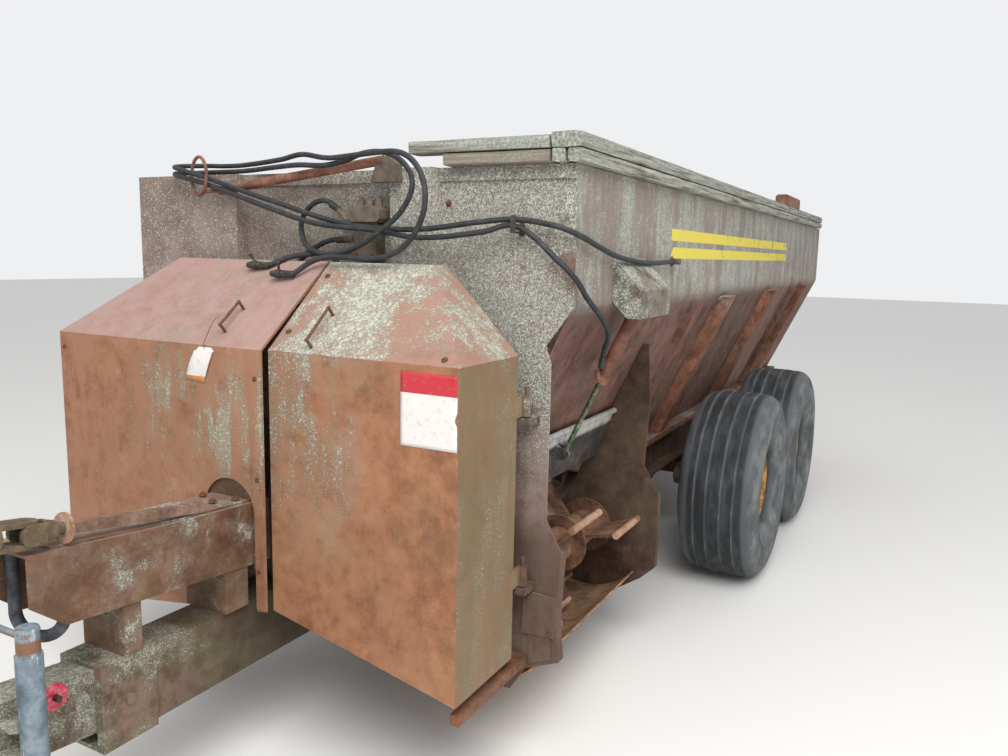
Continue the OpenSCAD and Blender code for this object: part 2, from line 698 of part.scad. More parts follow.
module cover_right() {
    color("#8d5a44") placed() difference() {
        union() {
            cover_shell(seam_x, -cover_edge_right, cover_depth + deeper, -1);
            for (z = [600, 1100]) block([-cover_edge_right, -120, z], [cover_t - cover_edge_right, 0, z + 70]);
            intersection() {
                along_x(seam_x - 55, seam_x) difference() {
                    polygon(cover_side(-3, cover_depth + deeper));
                    polygon(cover_side(seat, cover_depth + deeper));
                }
                block([0, -600, seam_lip + 4], [seam_x, cover_ridge_y, cover_ridge_z + 2]);
            }
            slope_handle(tongue_x - 50, cover_depth + deeper, 68, 181);
        }
        along_y(-600, -400) union() {
            translate([tongue_x - arch_r, 300]) square([2 * arch_r, arch_z - 300]);
            translate([tongue_x, arch_z]) circle(r = arch_r);
        }
        bar_y(-108, -600, -400, 1025, 9);
    }
}

module cover_left() {
    color("#94684f") placed() {
        cover_shell(seam_x + 8, cover_edge_left, cover_depth, 1);
        slope_handle(300, cover_depth, 27, 171);
        for (z = hinge_zs) difference() {
            union() {
                translate([cover_hinge_x, cover_hinge_y, z]) cylinder(h = 70, d = 32);
                block([cover_edge_left - cover_t, -130, z], [cover_edge_left + 2, cover_hinge_y, z + 70]);
            }
            translate([cover_hinge_x, cover_hinge_y, z - 1]) cylinder(h = 72, d = 16 + 2 * fit);
        }
    }
}

rotor_tube_d = 150;
tip_bar_d = 30;

// One bank of three blades: plates that widen outwards to a round bar along the rotor
module blade_bank(y0, y1, angle, reach, teeth) {
    r = reach - tip_bar_d / 2;
    step = (y1 - y0) / teeth;
    saw = teeth > 1 ? [for (i = [0:teeth - 1], k = [0, 1]) [y0 + (i + 0.15 + 0.7 * k) * step, r + 10 - 20 * k]] : [[y0, r], [y1, r]];
    for (a = [angle, angle + 120, angle + 240]) translate([rotor_x, 0, rotor_z]) rotate([0, -a, 0]) {
        translate([0, 0, -6]) linear_extrude(12)
            polygon(concat([[30, y1 - 70], [30, y0 + 70]], [for (p = saw) [p[1], p[0]]]));
        if (teeth == 1) bar_y(r, y0, y1, 0, tip_bar_d);
    }
}

module rotor() {
    third = chute_l / 1020;
    color("#6a4a3c") placed() {
        bar_y(rotor_x, -20, chute_l + 40, rotor_z, rotor_shaft_d);
        bar_y(rotor_x, 40 * third, 1000 * third, rotor_z, rotor_tube_d);
        for (y = [60, 384, 694, 990]) bar_y(rotor_x, y * third, y * third + 10, rotor_z, 250);
        blade_bank(80 * third, 378 * third, -50, rotor_r, 8);
        blade_bank(396 * third, 690 * third, 43, rotor_r - 14, 1);
        blade_bank(706 * third, 984 * third, 16, rotor_r, 1);
    }
}

// Corners of a flight's section at angle a: inner and outer edge, front and back face
function flight_ring(a, z) = [for (p = [[flight_in, 0], [flight_r, 0], [flight_r, flight_t], [flight_in, flight_t]])
    [p[0] * cos(a), p[0] * sin(a), z + p[1]]];

// One helical flight that climbs from z = 0 to z = run
module flight(run, hand) {
    steps = floor(run / flight_pitch * flight_sides);
    rings = [for (i = [0:steps]) each flight_ring(hand * 360 * i / flight_sides, run * i / steps)];
    walls = [for (i = [0:steps - 1], k = [0:3], t = [0, 1])
        let (a = 4 * i + k, b = 4 * i + (k + 1) % 4) t == 0 ? [a, b, b + 4] : [a, b + 4, a + 4]];
    ends = [[3, 2, 1], [3, 1, 0], [4 * steps, 4 * steps + 1, 4 * steps + 2], [4 * steps, 4 * steps + 2, 4 * steps + 3]];
    faces = concat(walls, ends);
    polyhedron(points = rings, faces = hand > 0 ? faces : [for (f = faces) [for (i = [len(f) - 1:-1:0]) f[i]]], convexity = 10);
}

module auger_tube(x) {
    color("#6f5248") placed() bar_y(x, -20, tank_l + 20, auger_z, auger_tube_d);
}

module auger_flight(x, y0, y1, hand) {
    color("#6f5248") placed() translate([x, y1, auger_z]) rotate([90, 0, 0]) flight(y1 - y0 - flight_t, hand);
}

module gate() {
    lug = 22;
    color("#cfcac0") placed() translate([hinge_x, 0, hinge_z]) rotate([0, gate_lean, 0]) {
        bar_y(0, 0, chute_l + sheet_t, 0, gate_pin_d);
        along_y(gate_y0, gate_y1) polygon([[-5, 0], [5, 0], [5, -gate_w + 14], [-7, -gate_w], [-13, -gate_w + 8], [-5, -gate_w + 20]]);
        for (y = [[320, cyl_y - 50], [cyl_y + 50, gate_y1 - 55]]) block([4, y[0], -70], [11, y[1], -8]);
        for (y = [cyl_y - 26, cyl_y + 18]) along_y(y, y + 8) polygon([[4, -104], [eye_in[0] + 12, eye_in[1] - 18],
            [eye_in[0] + 18, eye_in[1] - 4], [eye_in[0] + 12, eye_in[1] + 20], [4, -36]]);
        bar_y(eye_in[0], cyl_y - 26, cyl_y + 26, eye_in[1], 10);
    }
}

cyl_y = 420;
eye_in = [40, -68];
eye_x = hinge_x + eye_in[0] * cos(gate_lean) + eye_in[1] * sin(gate_lean);
eye_z = hinge_z - eye_in[0] * sin(gate_lean) + eye_in[1] * cos(gate_lean);
top_x = half_w + 74;
top_z = 1596;
gland = 310;
bore_in = barrel_d - 12;

// Places its child at the cylinder's top pin, z up along the cylinder
module on_cylinder() {
    translate([top_x, cyl_y, top_z]) rotate([0, atan((top_x - eye_x) / (top_z - eye_z)), 0]) children();
}

module gate_cylinder() {
    color("#7b4a39") placed() {
        on_cylinder() {
            rotate([90, 0, 0]) cylinder(h = 76, d = 20, center = true);
            rotate([90, 0, 0]) cylinder(h = 44, d = 44, center = true);
            difference() {
                union() {
                    translate([0, 0, -gland]) cylinder(h = gland - 12, d = barrel_d);
                    translate([0, 0, -gland - 6]) cylinder(h = 34, d = barrel_d + 8);
                    translate([0, 0, -58]) cylinder(h = 28, d = barrel_d + 4);
                }
                translate([0, 0, -gland + 20]) cylinder(h = gland - 52, d = bore_in);
                translate([0, 0, -gland - 7]) cylinder(h = 30, d = rod_d + 2 * fit);
            }
            translate([0, -barrel_d / 2 + 4, -gland + 11]) rotate([90, 0, 0]) cylinder(h = 38, d = 22);
        }
        port = gland - 11;
        lean = atan((top_x - eye_x) / (top_z - eye_z));
        translate([top_x - port * sin(lean), cyl_y - barrel_d / 2 - 24, top_z - port * cos(lean)]) cylinder(h = port_h, d = 22);
    }
}

port_h = 34;

module gate_rod() {
    color("#6f8f6a") placed() on_cylinder() {
        run = sqrt(pow(top_x - eye_x, 2) + pow(top_z - eye_z, 2));
        translate([0, 0, -run + 18]) cylinder(h = run - 18 - gland + 40, d = rod_d);
        translate([0, 0, -gland + 25]) cylinder(h = 20, d = bore_in - 2 * fit);
        translate([0, 0, -run]) rotate([90, 0, 0]) difference() {
            cylinder(h = 24, d = 44, center = true);
            cylinder(h = 26, d = 32, center = true);
        }
    }
}

// Half of the tyre's tread line with its ribs and grooves, from the middle outwards
function tread(r, w) = [[r, 0], [r - 1, w * 0.12], [r - 13, w * 0.15], [r - 13, w * 0.21], [r - 1, w * 0.24], [r - 3, w * 0.42],
    [r - 15, w * 0.45], [r - 15, w * 0.52], [r - 4, w * 0.55], [r - 10, w * 0.72], [r - 26, w * 0.84]];

// A ribbed implement tyre: one closed section turned round the axle
module tyre(side, y) {
    r = wheel_r;
    w = tyre_w / 2;
    bead = rim_d / 2 - 16;
    half = concat(tread(r, w), [[r * 0.9, w * 0.95], [r * 0.82, w], [r * 0.72, w], [r * 0.6, w * 0.95], [bead + 34, w - 44],
        [bead, w - 86]]);
    core = [[bead, w - 130], [bead + 50, w - 70], [r * 0.74, w - 28], [r - 60, w - 60], [r - 42, 0]];
    mirror([side < 0 ? 1 : 0, 0, 0]) translate([track_x - w, y, r]) rotate([0, 90, 0]) rotate_extrude($fn = 96)
        polygon(concat([for (i = [len(half) - 1:-1:1]) [half[i][0], -half[i][1]]], half, core,
            [for (i = [len(core) - 2:-1:0]) [core[i][0], -core[i][1]]]));
}

// The rim with its dished disc, hub and eight wheel nuts
module rim(side, y) {
    w = tyre_w / 2;
    bead = rim_d / 2 - 16;
    mirror([side < 0 ? 1 : 0, 0, 0]) translate([track_x - w, y, wheel_r]) rotate([0, 90, 0]) difference() {
        union() {
            rotate_extrude($fn = 96) polygon([[bead, 75 - w], [bead, w - 75], [bead - 12, w - 75], [bead - 26, w - 96],
                [bead - 40, w - 128], [bead - 46, 30], [bead - 70, 34], [120, 12], [80, 12], [80, -2], [122, -2],
                [bead - 66, 20], [bead - 58, 10], [bead - 56, -60], [bead - 26, 96 - w], [bead - 12, 75 - w]]);
            translate([0, 0, -130]) cylinder(h = 210, r = 70);
            translate([0, 0, 79]) cylinder(h = 18, r1 = 58, r2 = 46);
            cylinder(h = 24, r = 112);
            for (k = [0:7]) rotate(45 * k) translate([92, 0, 23]) cylinder(h = 16, d = 30, $fn = 6);
        }
        translate([0, 0, -131]) cylinder(h = 191, d = spindle_d + 2 * fit);
    }
}

// A walking beam, deep at its pivot and narrow at the spindles
module beam(side) {
    half = axle_gap / 2;
    mirror([side < 0 ? 1 : 0, 0, 0]) {
        along_x(beam_x, beam_x + beam_w) polygon([[beam_y, beam_z - 82], [beam_y + 150, beam_z - 66],
            [beam_y + half, wheel_r - 60], [beam_y + half + 52, wheel_r - 36], [beam_y + half + 70, wheel_r],
            [beam_y + half + 52, wheel_r + 36], [beam_y + half, wheel_r + 60], [beam_y + 150, beam_z + 118],
            [beam_y - 150, beam_z + 118], [beam_y - half, wheel_r + 60], [beam_y - half - 52, wheel_r + 36],
            [beam_y - half - 70, wheel_r], [beam_y - half - 52, wheel_r - 36], [beam_y - half, wheel_r - 60],
            [beam_y - 150, beam_z - 66]]);
        bar_x(beam_x + beam_w - seat, beam_x + beam_w + 22, beam_y, beam_z, 150);
        for (s = [-1, 1]) bar_x(beam_x + beam_w - seat, track_x - tyre_w / 2 + 55, beam_y + s * half, wheel_r, spindle_d);
    }
}

jack_top = 760;
jack_travel = 300;

// The jack's outer tube with its cap and the crank that points away from the chute
module jack_tube() {
    color("#8d99a3") placed() translate([jack_x, jack_y, 0]) {
        difference() {
            translate([0, 0, 400]) cylinder(h = jack_top - 400, d = jack_d);
            translate([0, 0, 399]) cylinder(h = jack_top - 407, d = jack_d - 8);
        }
        translate([0, 0, jack_top - 1]) cylinder(h = 66, d = 57);
        translate([0, 0, jack_top + 64]) cylinder(h = 8, d1 = 60, d2 = 54);
        bar_x(-150, -20, 0, jack_top + 40, 18);
        strut([-143, 0, jack_top + 46], [-166, -10, jack_top - 96], 18);
    }
}

module jack_knob() {
    color("#c4404a") placed() translate([tongue_x + 84, knob_y, knob_z]) rotate([0, 90, 0]) difference() {
        rotate_extrude() polygon([[7, 3], [24, 3], [28, 0], [34, 2], [38, 7], [38, 13], [34, 18], [28, 20], [22, 17], [7, 17]]);
        translate([0, 0, -1]) cylinder(h = 22, d = knob_bore + 2 * fit);
    }
}

loop_r = 70;
loop_d = 34;
loop_y = -1185;
loop_z = 790;
loop_turn = 25;

// The rubber loop that hangs under the channel's mouth
module rubber_loop() {
    top = channel_top(loop_y + loop_r * sin(loop_turn) + loop_d / 2) - 8 - 0.3;
    color("#33343a") placed() translate([tongue_x, loop_y, loop_z]) rotate([0, 0, loop_turn]) {
        rotate([-90, 0, 0]) rotate_extrude(angle = 180) translate([loop_r, 0]) circle(d = loop_d);
        for (s = [-1, 1]) translate([s * loop_r, 0, -6]) cylinder(h = top - loop_z + 6, d = loop_d - 1);
    }
}

module jack_leg() {
    color("#8d99a3") placed() translate([jack_x, jack_y, jack_lift]) {
        translate([0, 0, 8]) cylinder(h = jack_top - 14 - jack_travel - 8 - 6, d = jack_d - 8 - 2 * fit);
        cylinder(h = 10, d1 = 170, d2 = 160);
        translate([0, 0, 9]) cylinder(h = 22, d1 = 110, d2 = jack_d - 6);
    }
}

// Routes of the hoses, from fitting to coupler
route_a = [[1030, 1006, 1765], [1030, 660, 1758.5], [1030, 330, 1778], [1030, 120, 1813], [1026, 35, 1832],
    [1004, -22, 1852], [950, -45, 1872], [808, -45, 1893], [690, -66, 1885], [480, -98, 1859], [300, -106, 1861],
    [120, -110, 1881], [-166, -114, 1954], [-342, -112, 2000], [-510, -112, 2047], [-600, -114, 2070],
    [-672, -114, 2088], [-728, -91, 2100], [-751, -35, 2110], [-728, 21, 2116], [-672, 44, 2117], [-590, 38, 2113],
    [-460, 14, 2110],
    [-193, -55, 2116], [-60, -90, 2126], [60, -114, 2108], [150, -150, 2101], [404, -200, 2106], [471, -203, 2096],
    [523, -204, 2058], [552, -204, 2000], [556, -204, 1935], [535, -203, 1872], [492, -201, 1815], [430, -200, 1775],
    [350, -200, 1757], [150, -202, 1757], [88, -216, 1739], [30, -245, 1695]];
route_b = [[960, 372, 1368], [970, 367, 1430], [1008, 310, 1500], [1028, 180, 1572], [1030, 34, 1648],
    [1016, -14, 1700], [970, -44, 1755], [808, -46, 1871], [690, -72, 1850], [475, -108, 1830], [300, -131, 1853],
    [40, -131, 1876], [-151, -124, 1921], [-510, -112, 2023], [-600, -114, 2044], [-672, -114, 2061],
    [-728, -91, 2073], [-751, -35, 2082], [-728, 21, 2088], [-672, 44, 2091], [-460, 12, 2087], [-200, -66, 2088], [-50, -114, 2086],
    [70, -120, 2080], [160, -114, 2094], [252, -126, 2115], [350, -135, 2112], [430, -143, 2074], [470, -150, 2010],
    [445, -156, 1935], [375, -160, 1868], [225, -160, 1786], [110, -158, 1768], [10, -138, 1790], [-48, -108, 1838],
    [-62, -88, 1895], [-22, -76, 1948], [35, -68, 1960], [88, -60, 1927]];
route_c = [[121, -60, 1822], [40, -66, 1815], [-60, -72, 1765], [-125, -66, 1705], [-152, -57, 1640],
    [-125, -55, 1572], [-60, -55, 1540], [20, -55, 1556], [84, -58, 1612], [106, -68, 1682], [98, -88, 1742],
    [60, -115, 1768], [0, -140, 1764], [-60, -165, 1753], [-121, -205, 1722]];
hose_sides = 8;

function unit(v) = v / norm(v);
function way(p, i) = unit(i == 0 ? p[1] - p[0] : i == len(p) - 1 ? p[i] - p[i - 1] : unit(p[i + 1] - p[i]) + unit(p[i] - p[i - 1]));
function level(v, t) = unit(v - (v * t) * t);

// A hose along a route: one ring of corners at each point, turned as little as possible
module hose(p) {
    n = len(p);
    up = [for (i = 0, u = level([0, 0, 1] + 0.3 * [1, 1, 0], way(p, 0)); i < n;
        i = i + 1, u = i < n ? level(u, way(p, i)) : u) u];
    rings = [for (i = [0:n - 1], k = [0:hose_sides - 1]) let (a = 360 * k / hose_sides)
        p[i] + hose_d / 2 * (cos(a) * up[i] + sin(a) * cross(way(p, i), up[i]))];
    walls = [for (i = [0:n - 2], k = [0:hose_sides - 1], t = [0, 1])
        let (a = hose_sides * i + k, b = hose_sides * i + (k + 1) % hose_sides, c = hose_sides)
        t == 0 ? [a, b + c, b] : [a, a + c, b + c]];
    ends = [[for (k = [0:hose_sides - 1]) k], [for (k = [hose_sides - 1:-1:0]) hose_sides * (n - 1) + k]];
    polyhedron(points = rings, faces = concat(walls, ends), convexity = 10);
}

// One quick coupler along X: ferrule, sleeve with its collar, and a lever
module coupler(p, turn) {
    translate(p) rotate([0, 0, 180 + turn]) rotate([0, 90, 0]) {
        translate([0, 0, -3]) cylinder(h = 24, d = 23);
        translate([0, 0, 20]) cylinder(h = 14, d = 27, $fn = 6);
        translate([0, 0, 33]) cylinder(h = 40, d = 28);
        translate([0, 0, 50]) cylinder(h = 14, d = 33);
        translate([0, 0, 72]) cylinder(h = 16, d1 = 26, d2 = 20);
    }
}

coupler_a = [30, -245, 1695];
coupler_c = [-121, -205, 1722];

module couplers() {
    color("#5a5650") placed() {
        coupler(coupler_a, 12);
        coupler(coupler_c, 12);
        strut(coupler_a + [-56, -10, 10], coupler_a + [-50, -18, 42], 9);
        strut(coupler_c + [-56, -10, 10], coupler_c + [-74, -18, 40], 9);
    }
}

front_wall();
rear_wall();
side_left();
side_right();
auger_trough();
chute_rear_plate();
rotor_trough();
board_front();
board_left();
frame();
tongue();
hitch();
driveline_channel();
stored_shaft();
hose_boom();
valve_block();
hose_clip();
cylinder_bracket();
drive_block();
cover_rail();
color("#6b4134") placed() beam(1);  // beam_left
color("#6b4134") placed() beam(-1);  // beam_right
jack_tube();
jack_knob();
rubber_loop();
side_fitting();
top_bracket();
color("#2e3034") placed() hose(route_a);  // hose_a
color("#2e3034") placed() hose(route_b);  // hose_b
color("#2e3034") placed() hose(route_c);  // hose_c
couplers();
cover_right();
cover_left();
rotor();
auger_tube(auger_x);  // auger_tube_left
auger_tube(-auger_x);  // auger_tube_right
auger_flight(auger_x, chute_l + 60, tank_l - 60, 1);  // auger_flight_left
auger_flight(-auger_x, 60, tank_l - 60, -1);  // auger_flight_right
gate();
gate_cylinder();
gate_rod();
color("#55565a") placed() tyre(1, front_axle_y);  // tyre_front_left
color("#55565a") placed() tyre(1, front_axle_y + axle_gap);  // tyre_rear_left
color("#55565a") placed() tyre(-1, front_axle_y);  // tyre_front_right
color("#55565a") placed() tyre(-1, front_axle_y + axle_gap);  // tyre_rear_right
color("#c98a2c") placed() rim(1, front_axle_y);  // rim_front_left
color("#c98a2c") placed() rim(1, front_axle_y + axle_gap);  // rim_rear_left
color("#c98a2c") placed() rim(-1, front_axle_y);  // rim_front_right
color("#c98a2c") placed() rim(-1, front_axle_y + axle_gap);  // rim_rear_right
jack_leg();
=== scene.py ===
import bpy, bmesh, math, json
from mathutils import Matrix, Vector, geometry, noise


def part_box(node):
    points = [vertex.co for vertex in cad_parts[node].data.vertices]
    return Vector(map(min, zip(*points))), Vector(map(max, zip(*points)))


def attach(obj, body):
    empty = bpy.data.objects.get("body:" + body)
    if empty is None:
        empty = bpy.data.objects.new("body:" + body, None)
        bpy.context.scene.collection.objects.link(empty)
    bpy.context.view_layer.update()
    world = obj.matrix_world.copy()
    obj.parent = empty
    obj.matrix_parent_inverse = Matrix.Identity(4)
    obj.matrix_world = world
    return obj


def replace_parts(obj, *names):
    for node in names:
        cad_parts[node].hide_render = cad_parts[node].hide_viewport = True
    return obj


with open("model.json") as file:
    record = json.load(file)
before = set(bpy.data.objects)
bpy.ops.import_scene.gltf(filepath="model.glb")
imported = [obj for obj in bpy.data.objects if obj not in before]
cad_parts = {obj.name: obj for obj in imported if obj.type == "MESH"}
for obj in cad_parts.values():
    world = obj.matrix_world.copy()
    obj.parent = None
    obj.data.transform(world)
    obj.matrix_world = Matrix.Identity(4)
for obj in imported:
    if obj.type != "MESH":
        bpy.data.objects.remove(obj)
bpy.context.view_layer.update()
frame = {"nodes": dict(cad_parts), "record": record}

# Camera. It stands at the spreader's front left corner, a little below the rim of the tank.
# Its place was solved from the tank's and the covers' corners. Places in this script count
# from the tank's front wall, and y_front takes them into the frame.
sheet_t = 0.008
y_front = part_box("side_right")[0].y - sheet_t
to_frame = Vector((0, y_front, 0))
camera_data = bpy.data.cameras.new("photo_view")
camera_data.sensor_width = 36.0
camera_data.lens = 29.374
camera_data.clip_end = 200.0
camera = bpy.data.objects.new("photo_view", camera_data)
camera.location = (2.0622, -2.4686 + y_front, 1.778)
camera.rotation_euler = [math.radians(a) for a in (81.4834, -1.2002, 28.1624)]
bpy.context.collection.objects.link(camera)
bpy.context.scene.camera = camera
bpy.context.scene.view_settings.view_transform = "Standard"


# Hydraulic hoses. Three rubber hoses of 19 mm with crimped steel ferrules. Two pass the boom's
# ring, from the side elbow to a coupler and from the gate cylinder's port to the valve. The
# third loops from the valve to its coupler. They follow the routes of their solids.
hose_d = 0.019
routes = {
    "hose_a": [
        (1.030, 1.006, 1.765), (1.030, 0.660, 1.7585), (1.030, 0.330, 1.778), (1.030, 0.120, 1.813),
        (1.026, 0.035, 1.832), (1.004, -0.022, 1.852), (0.950, -0.045, 1.872), (0.808, -0.045, 1.893),
        (0.690, -0.066, 1.885), (0.480, -0.098, 1.859), (0.300, -0.106, 1.861), (0.120, -0.110, 1.881),
        (-0.166, -0.114, 1.954), (-0.342, -0.112, 2.000), (-0.510, -0.112, 2.047), (-0.600, -0.114, 2.070),
        (-0.672, -0.114, 2.088), (-0.728, -0.091, 2.100), (-0.751, -0.035, 2.110), (-0.728, 0.021, 2.116),
        (-0.672, 0.044, 2.117), (-0.590, 0.038, 2.113), (-0.460, 0.014, 2.110), (-0.193, -0.055, 2.116),
        (-0.060, -0.090, 2.126), (0.060, -0.114, 2.108), (0.150, -0.150, 2.101), (0.404, -0.200, 2.106),
        (0.471, -0.203, 2.096), (0.523, -0.204, 2.058), (0.552, -0.204, 2.000), (0.556, -0.204, 1.935),
        (0.535, -0.203, 1.872), (0.492, -0.201, 1.815), (0.430, -0.200, 1.775), (0.350, -0.200, 1.757),
        (0.150, -0.202, 1.757), (0.088, -0.216, 1.739), (0.030, -0.245, 1.695)],
    "hose_b": [
        (0.960, 0.372, 1.368), (0.970, 0.367, 1.430), (1.008, 0.310, 1.500), (1.028, 0.180, 1.572),
        (1.030, 0.034, 1.648), (1.016, -0.014, 1.700), (0.970, -0.044, 1.755), (0.808, -0.046, 1.871),
        (0.690, -0.072, 1.850), (0.475, -0.108, 1.830), (0.300, -0.131, 1.853), (0.040, -0.131, 1.876),
        (-0.151, -0.124, 1.921), (-0.510, -0.112, 2.023), (-0.600, -0.114, 2.044), (-0.672, -0.114, 2.061),
        (-0.728, -0.091, 2.073), (-0.751, -0.035, 2.082), (-0.728, 0.021, 2.088), (-0.672, 0.044, 2.091),
        (-0.460, 0.012, 2.087), (-0.200, -0.066, 2.088), (-0.050, -0.114, 2.086), (0.070, -0.120, 2.080),
        (0.160, -0.114, 2.094), (0.252, -0.126, 2.115), (0.350, -0.135, 2.112), (0.430, -0.143, 2.074),
        (0.470, -0.150, 2.010), (0.445, -0.156, 1.935), (0.375, -0.160, 1.868), (0.225, -0.160, 1.786),
        (0.110, -0.158, 1.768), (0.010, -0.138, 1.790), (-0.048, -0.108, 1.838), (-0.062, -0.088, 1.895),
        (-0.022, -0.076, 1.948), (0.035, -0.068, 1.960), (0.088, -0.060, 1.927)],
    "hose_c": [
        (0.121, -0.060, 1.822), (0.040, -0.066, 1.815), (-0.060, -0.072, 1.765), (-0.125, -0.066, 1.705),
        (-0.152, -0.057, 1.640), (-0.125, -0.055, 1.572), (-0.060, -0.055, 1.540), (0.020, -0.055, 1.556),
        (0.084, -0.058, 1.612), (0.106, -0.068, 1.682), (0.098, -0.088, 1.742), (0.060, -0.115, 1.768),
        (0.000, -0.140, 1.764), (-0.060, -0.165, 1.753), (-0.121, -0.205, 1.722)],
}


def srgb(code):
    """A colour written as on a paint card, as linear light."""
    code = code.lstrip("#")
    parts = [int(code[i:i + 2], 16) / 255 for i in (0, 2, 4)]
    return [c / 12.92 if c <= 0.04045 else ((c + 0.055) / 1.055) ** 2.4 for c in parts] + [1.0]


def put(tree, kind, inputs=(), out=0, ramp=None, **settings):
    """Adds one shader node, sets it, links what is given as a socket, and returns an output. Its
    inputs come by name, or in a list in their order."""
    n = tree.nodes.new("ShaderNode" + kind)
    for key, value in settings.items():
        setattr(n, key, value)
    for key, value in inputs.items() if isinstance(inputs, dict) else enumerate(inputs):
        if isinstance(value, bpy.types.NodeSocket):
            tree.links.new(value, n.inputs[key])
        else:
            n.inputs[key].default_value = value
    if ramp:
        while len(n.color_ramp.elements) < len(ramp):
            n.color_ramp.elements.new(0.5)
        for stop, (place, code) in zip(n.color_ramp.elements, ramp):
            stop.position = place
            stop.color = srgb(code)
    return n.outputs[out]


def new_finish(name):
    """An empty material with its principled shader and the tree to draw in."""
    finish = bpy.data.materials.new(name)
    finish.use_nodes = True
    tree = finish.node_tree
    return finish, tree, tree.nodes["Principled BSDF"]


def clouded(name, scale, stops, rough, detail=6.0, spread=0.7, bump=None, marks=None, metal=0.0, coat=0.0):
    """A finish whose tone drifts along one noise, with so many clouds to the metre. Bump gives its
    relief as (strength, metres), in the same clouds or in so many marks to the metre."""
    finish, tree, shader = new_finish(name)
    where = put(tree, "TexCoord", out="Object")
    cloud = put(tree, "TexNoise", {"Vector": where, "Scale": scale, "Detail": detail, "Roughness": spread})
    tree.links.new(put(tree, "ValToRGB", {"Fac": cloud}, ramp=stops), shader.inputs["Base Color"])
    for socket, value in (("Roughness", rough), ("Metallic", metal), ("Coat Weight", coat)):
        shader.inputs[socket].default_value = value
    if bump:
        level = put(tree, "TexNoise", {"Vector": where, "Scale": marks, "Detail": 2.0}) if marks else cloud
        relief = put(tree, "Bump", {"Strength": bump[0], "Distance": bump[1], "Height": level})
        tree.links.new(relief, shader.inputs["Normal"])
    return finish


# Sunned hose rubber: black rubber gone dull and grey in soft clouds of 30 mm. Its fine wrapping
# marks of about 2 mm are drawn at 4 mm, so that they show.
hose_rubber = clouded(
    "sunned_hose_rubber", 30.0, [(0.3, "#1f2123"), (0.55, "#2b2d30"), (0.75, "#43474a")], rough=0.62,
    detail=5.0, spread=0.6, bump=(0.25, 0.001), marks=250.0)


def hose_line(name, points):
    """A hose on one smooth line through its route, as a bezier curve with its real thickness."""
    handle = 0.35
    data = bpy.data.curves.new(name, "CURVE")
    data.dimensions = "3D"
    data.bevel_depth = hose_d / 2
    data.bevel_resolution = 4
    data.resolution_u = 10
    data.use_fill_caps = True
    line = data.splines.new("BEZIER")
    line.bezier_points.add(len(points) - 1)
    spots = [Vector((x, y + y_front, z)) for x, y, z in points]
    for i, knot in enumerate(line.bezier_points):
        before, here, after = spots[max(i - 1, 0)], spots[i], spots[min(i + 1, len(spots) - 1)]
        way = (after - before).normalized()
        knot.co = here
        knot.handle_left_type = knot.handle_right_type = "FREE"
        knot.handle_left = here - way * (here - before).length * handle
        knot.handle_right = here + way * (after - here).length * handle
    length = 0.0
    for a, b in zip(line.bezier_points, line.bezier_points[1:]):
        bits = geometry.interpolate_bezier(a.co, a.handle_right, b.handle_left, b.co, 24)
        length += sum((q - p).length for p, q in zip(bits, bits[1:]))
    data.materials.append(hose_rubber)
    obj = bpy.data.objects.new(name + "_line", data)
    bpy.context.collection.objects.link(obj)
    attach(obj, "spreader")
    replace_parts(obj, name)
    return obj, spots, round(length, 3)


def skin(bm, rings, closed=False):
    """Spans rings of corners with faces, right round or with a cap at each end."""
    for p, q in zip(rings, rings[1:] + (rings[:1] if closed else [])):
        for k in range(len(p)):
            m = (k + 1) % len(p)
            bm.faces.new((p[k], p[m], q[m], q[k]))
    if not closed:
        bm.faces.new(rings[0][::-1])
        bm.faces.new(rings[-1])


def turned(bm, profile, start, way, sides=20):
    """Turns a profile of (distance along, radius) about a line, closed at both ends."""
    way = Vector(way).normalized()
    side = way.orthogonal().normalized()
    up = way.cross(side)
    turns = [2 * math.pi * k / sides for k in range(sides)]
    rings = []
    for along, radius in profile:
        middle = Vector(start) + way * along
        rings.append([bm.verts.new(middle + (side * math.cos(a) + up * math.sin(a)) * radius) for a in turns])
    skin(bm, rings)


def made(name, bm, finish, body, smooth=35):
    """Turns a finished mesh into a piece of the spreader."""
    bmesh.ops.recalc_face_normals(bm, faces=bm.faces)
    mesh = bpy.data.meshes.new(name)
    bm.to_mesh(mesh)
    bm.free()
    mesh.shade_smooth()
    mesh.set_sharp_from_angle(angle=math.radians(smooth))
    mesh.materials.append(finish)
    obj = bpy.data.objects.new(name, mesh)
    bpy.context.collection.objects.link(obj)
    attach(obj, body)
    return obj


# Plated fittings: zinc plating gone dull, half shiny and freckled with rust in spots of 11 mm,
# on the ferrules and couplers.
fitting_steel = clouded(
    "dull_zinc_fittings", 90.0,
    [(0.35, "#29292a"), (0.52, "#41403e"), (0.62, "#5c4838"), (0.8, "#7d786f")], rough=0.55,
    bump=(0.4, 0.0008), metal=0.45)

# Each profile counts along its part and out from the middle
ferrule = [(0.0005, 0.0118), (0.004, 0.0126), (0.012, 0.0126), (0.014, 0.0119), (0.018, 0.0126),
           (0.026, 0.0126), (0.028, 0.0119), (0.032, 0.0126), (0.040, 0.0124), (0.043, 0.0108)]
lines = {}
for hose_name, points in routes.items():
    obj, spots_on, length = hose_line(hose_name, points)
    bm = bmesh.new()
    turned(bm, ferrule, spots_on[0], spots_on[1] - spots_on[0])
    if hose_name == "hose_b":
        turned(bm, ferrule, spots_on[-1], spots_on[-2] - spots_on[-1])
    ends = made(hose_name + "_ferrules", bm, fitting_steel, "spreader")
    lines[hose_name] = (obj, spots_on, length, ends)

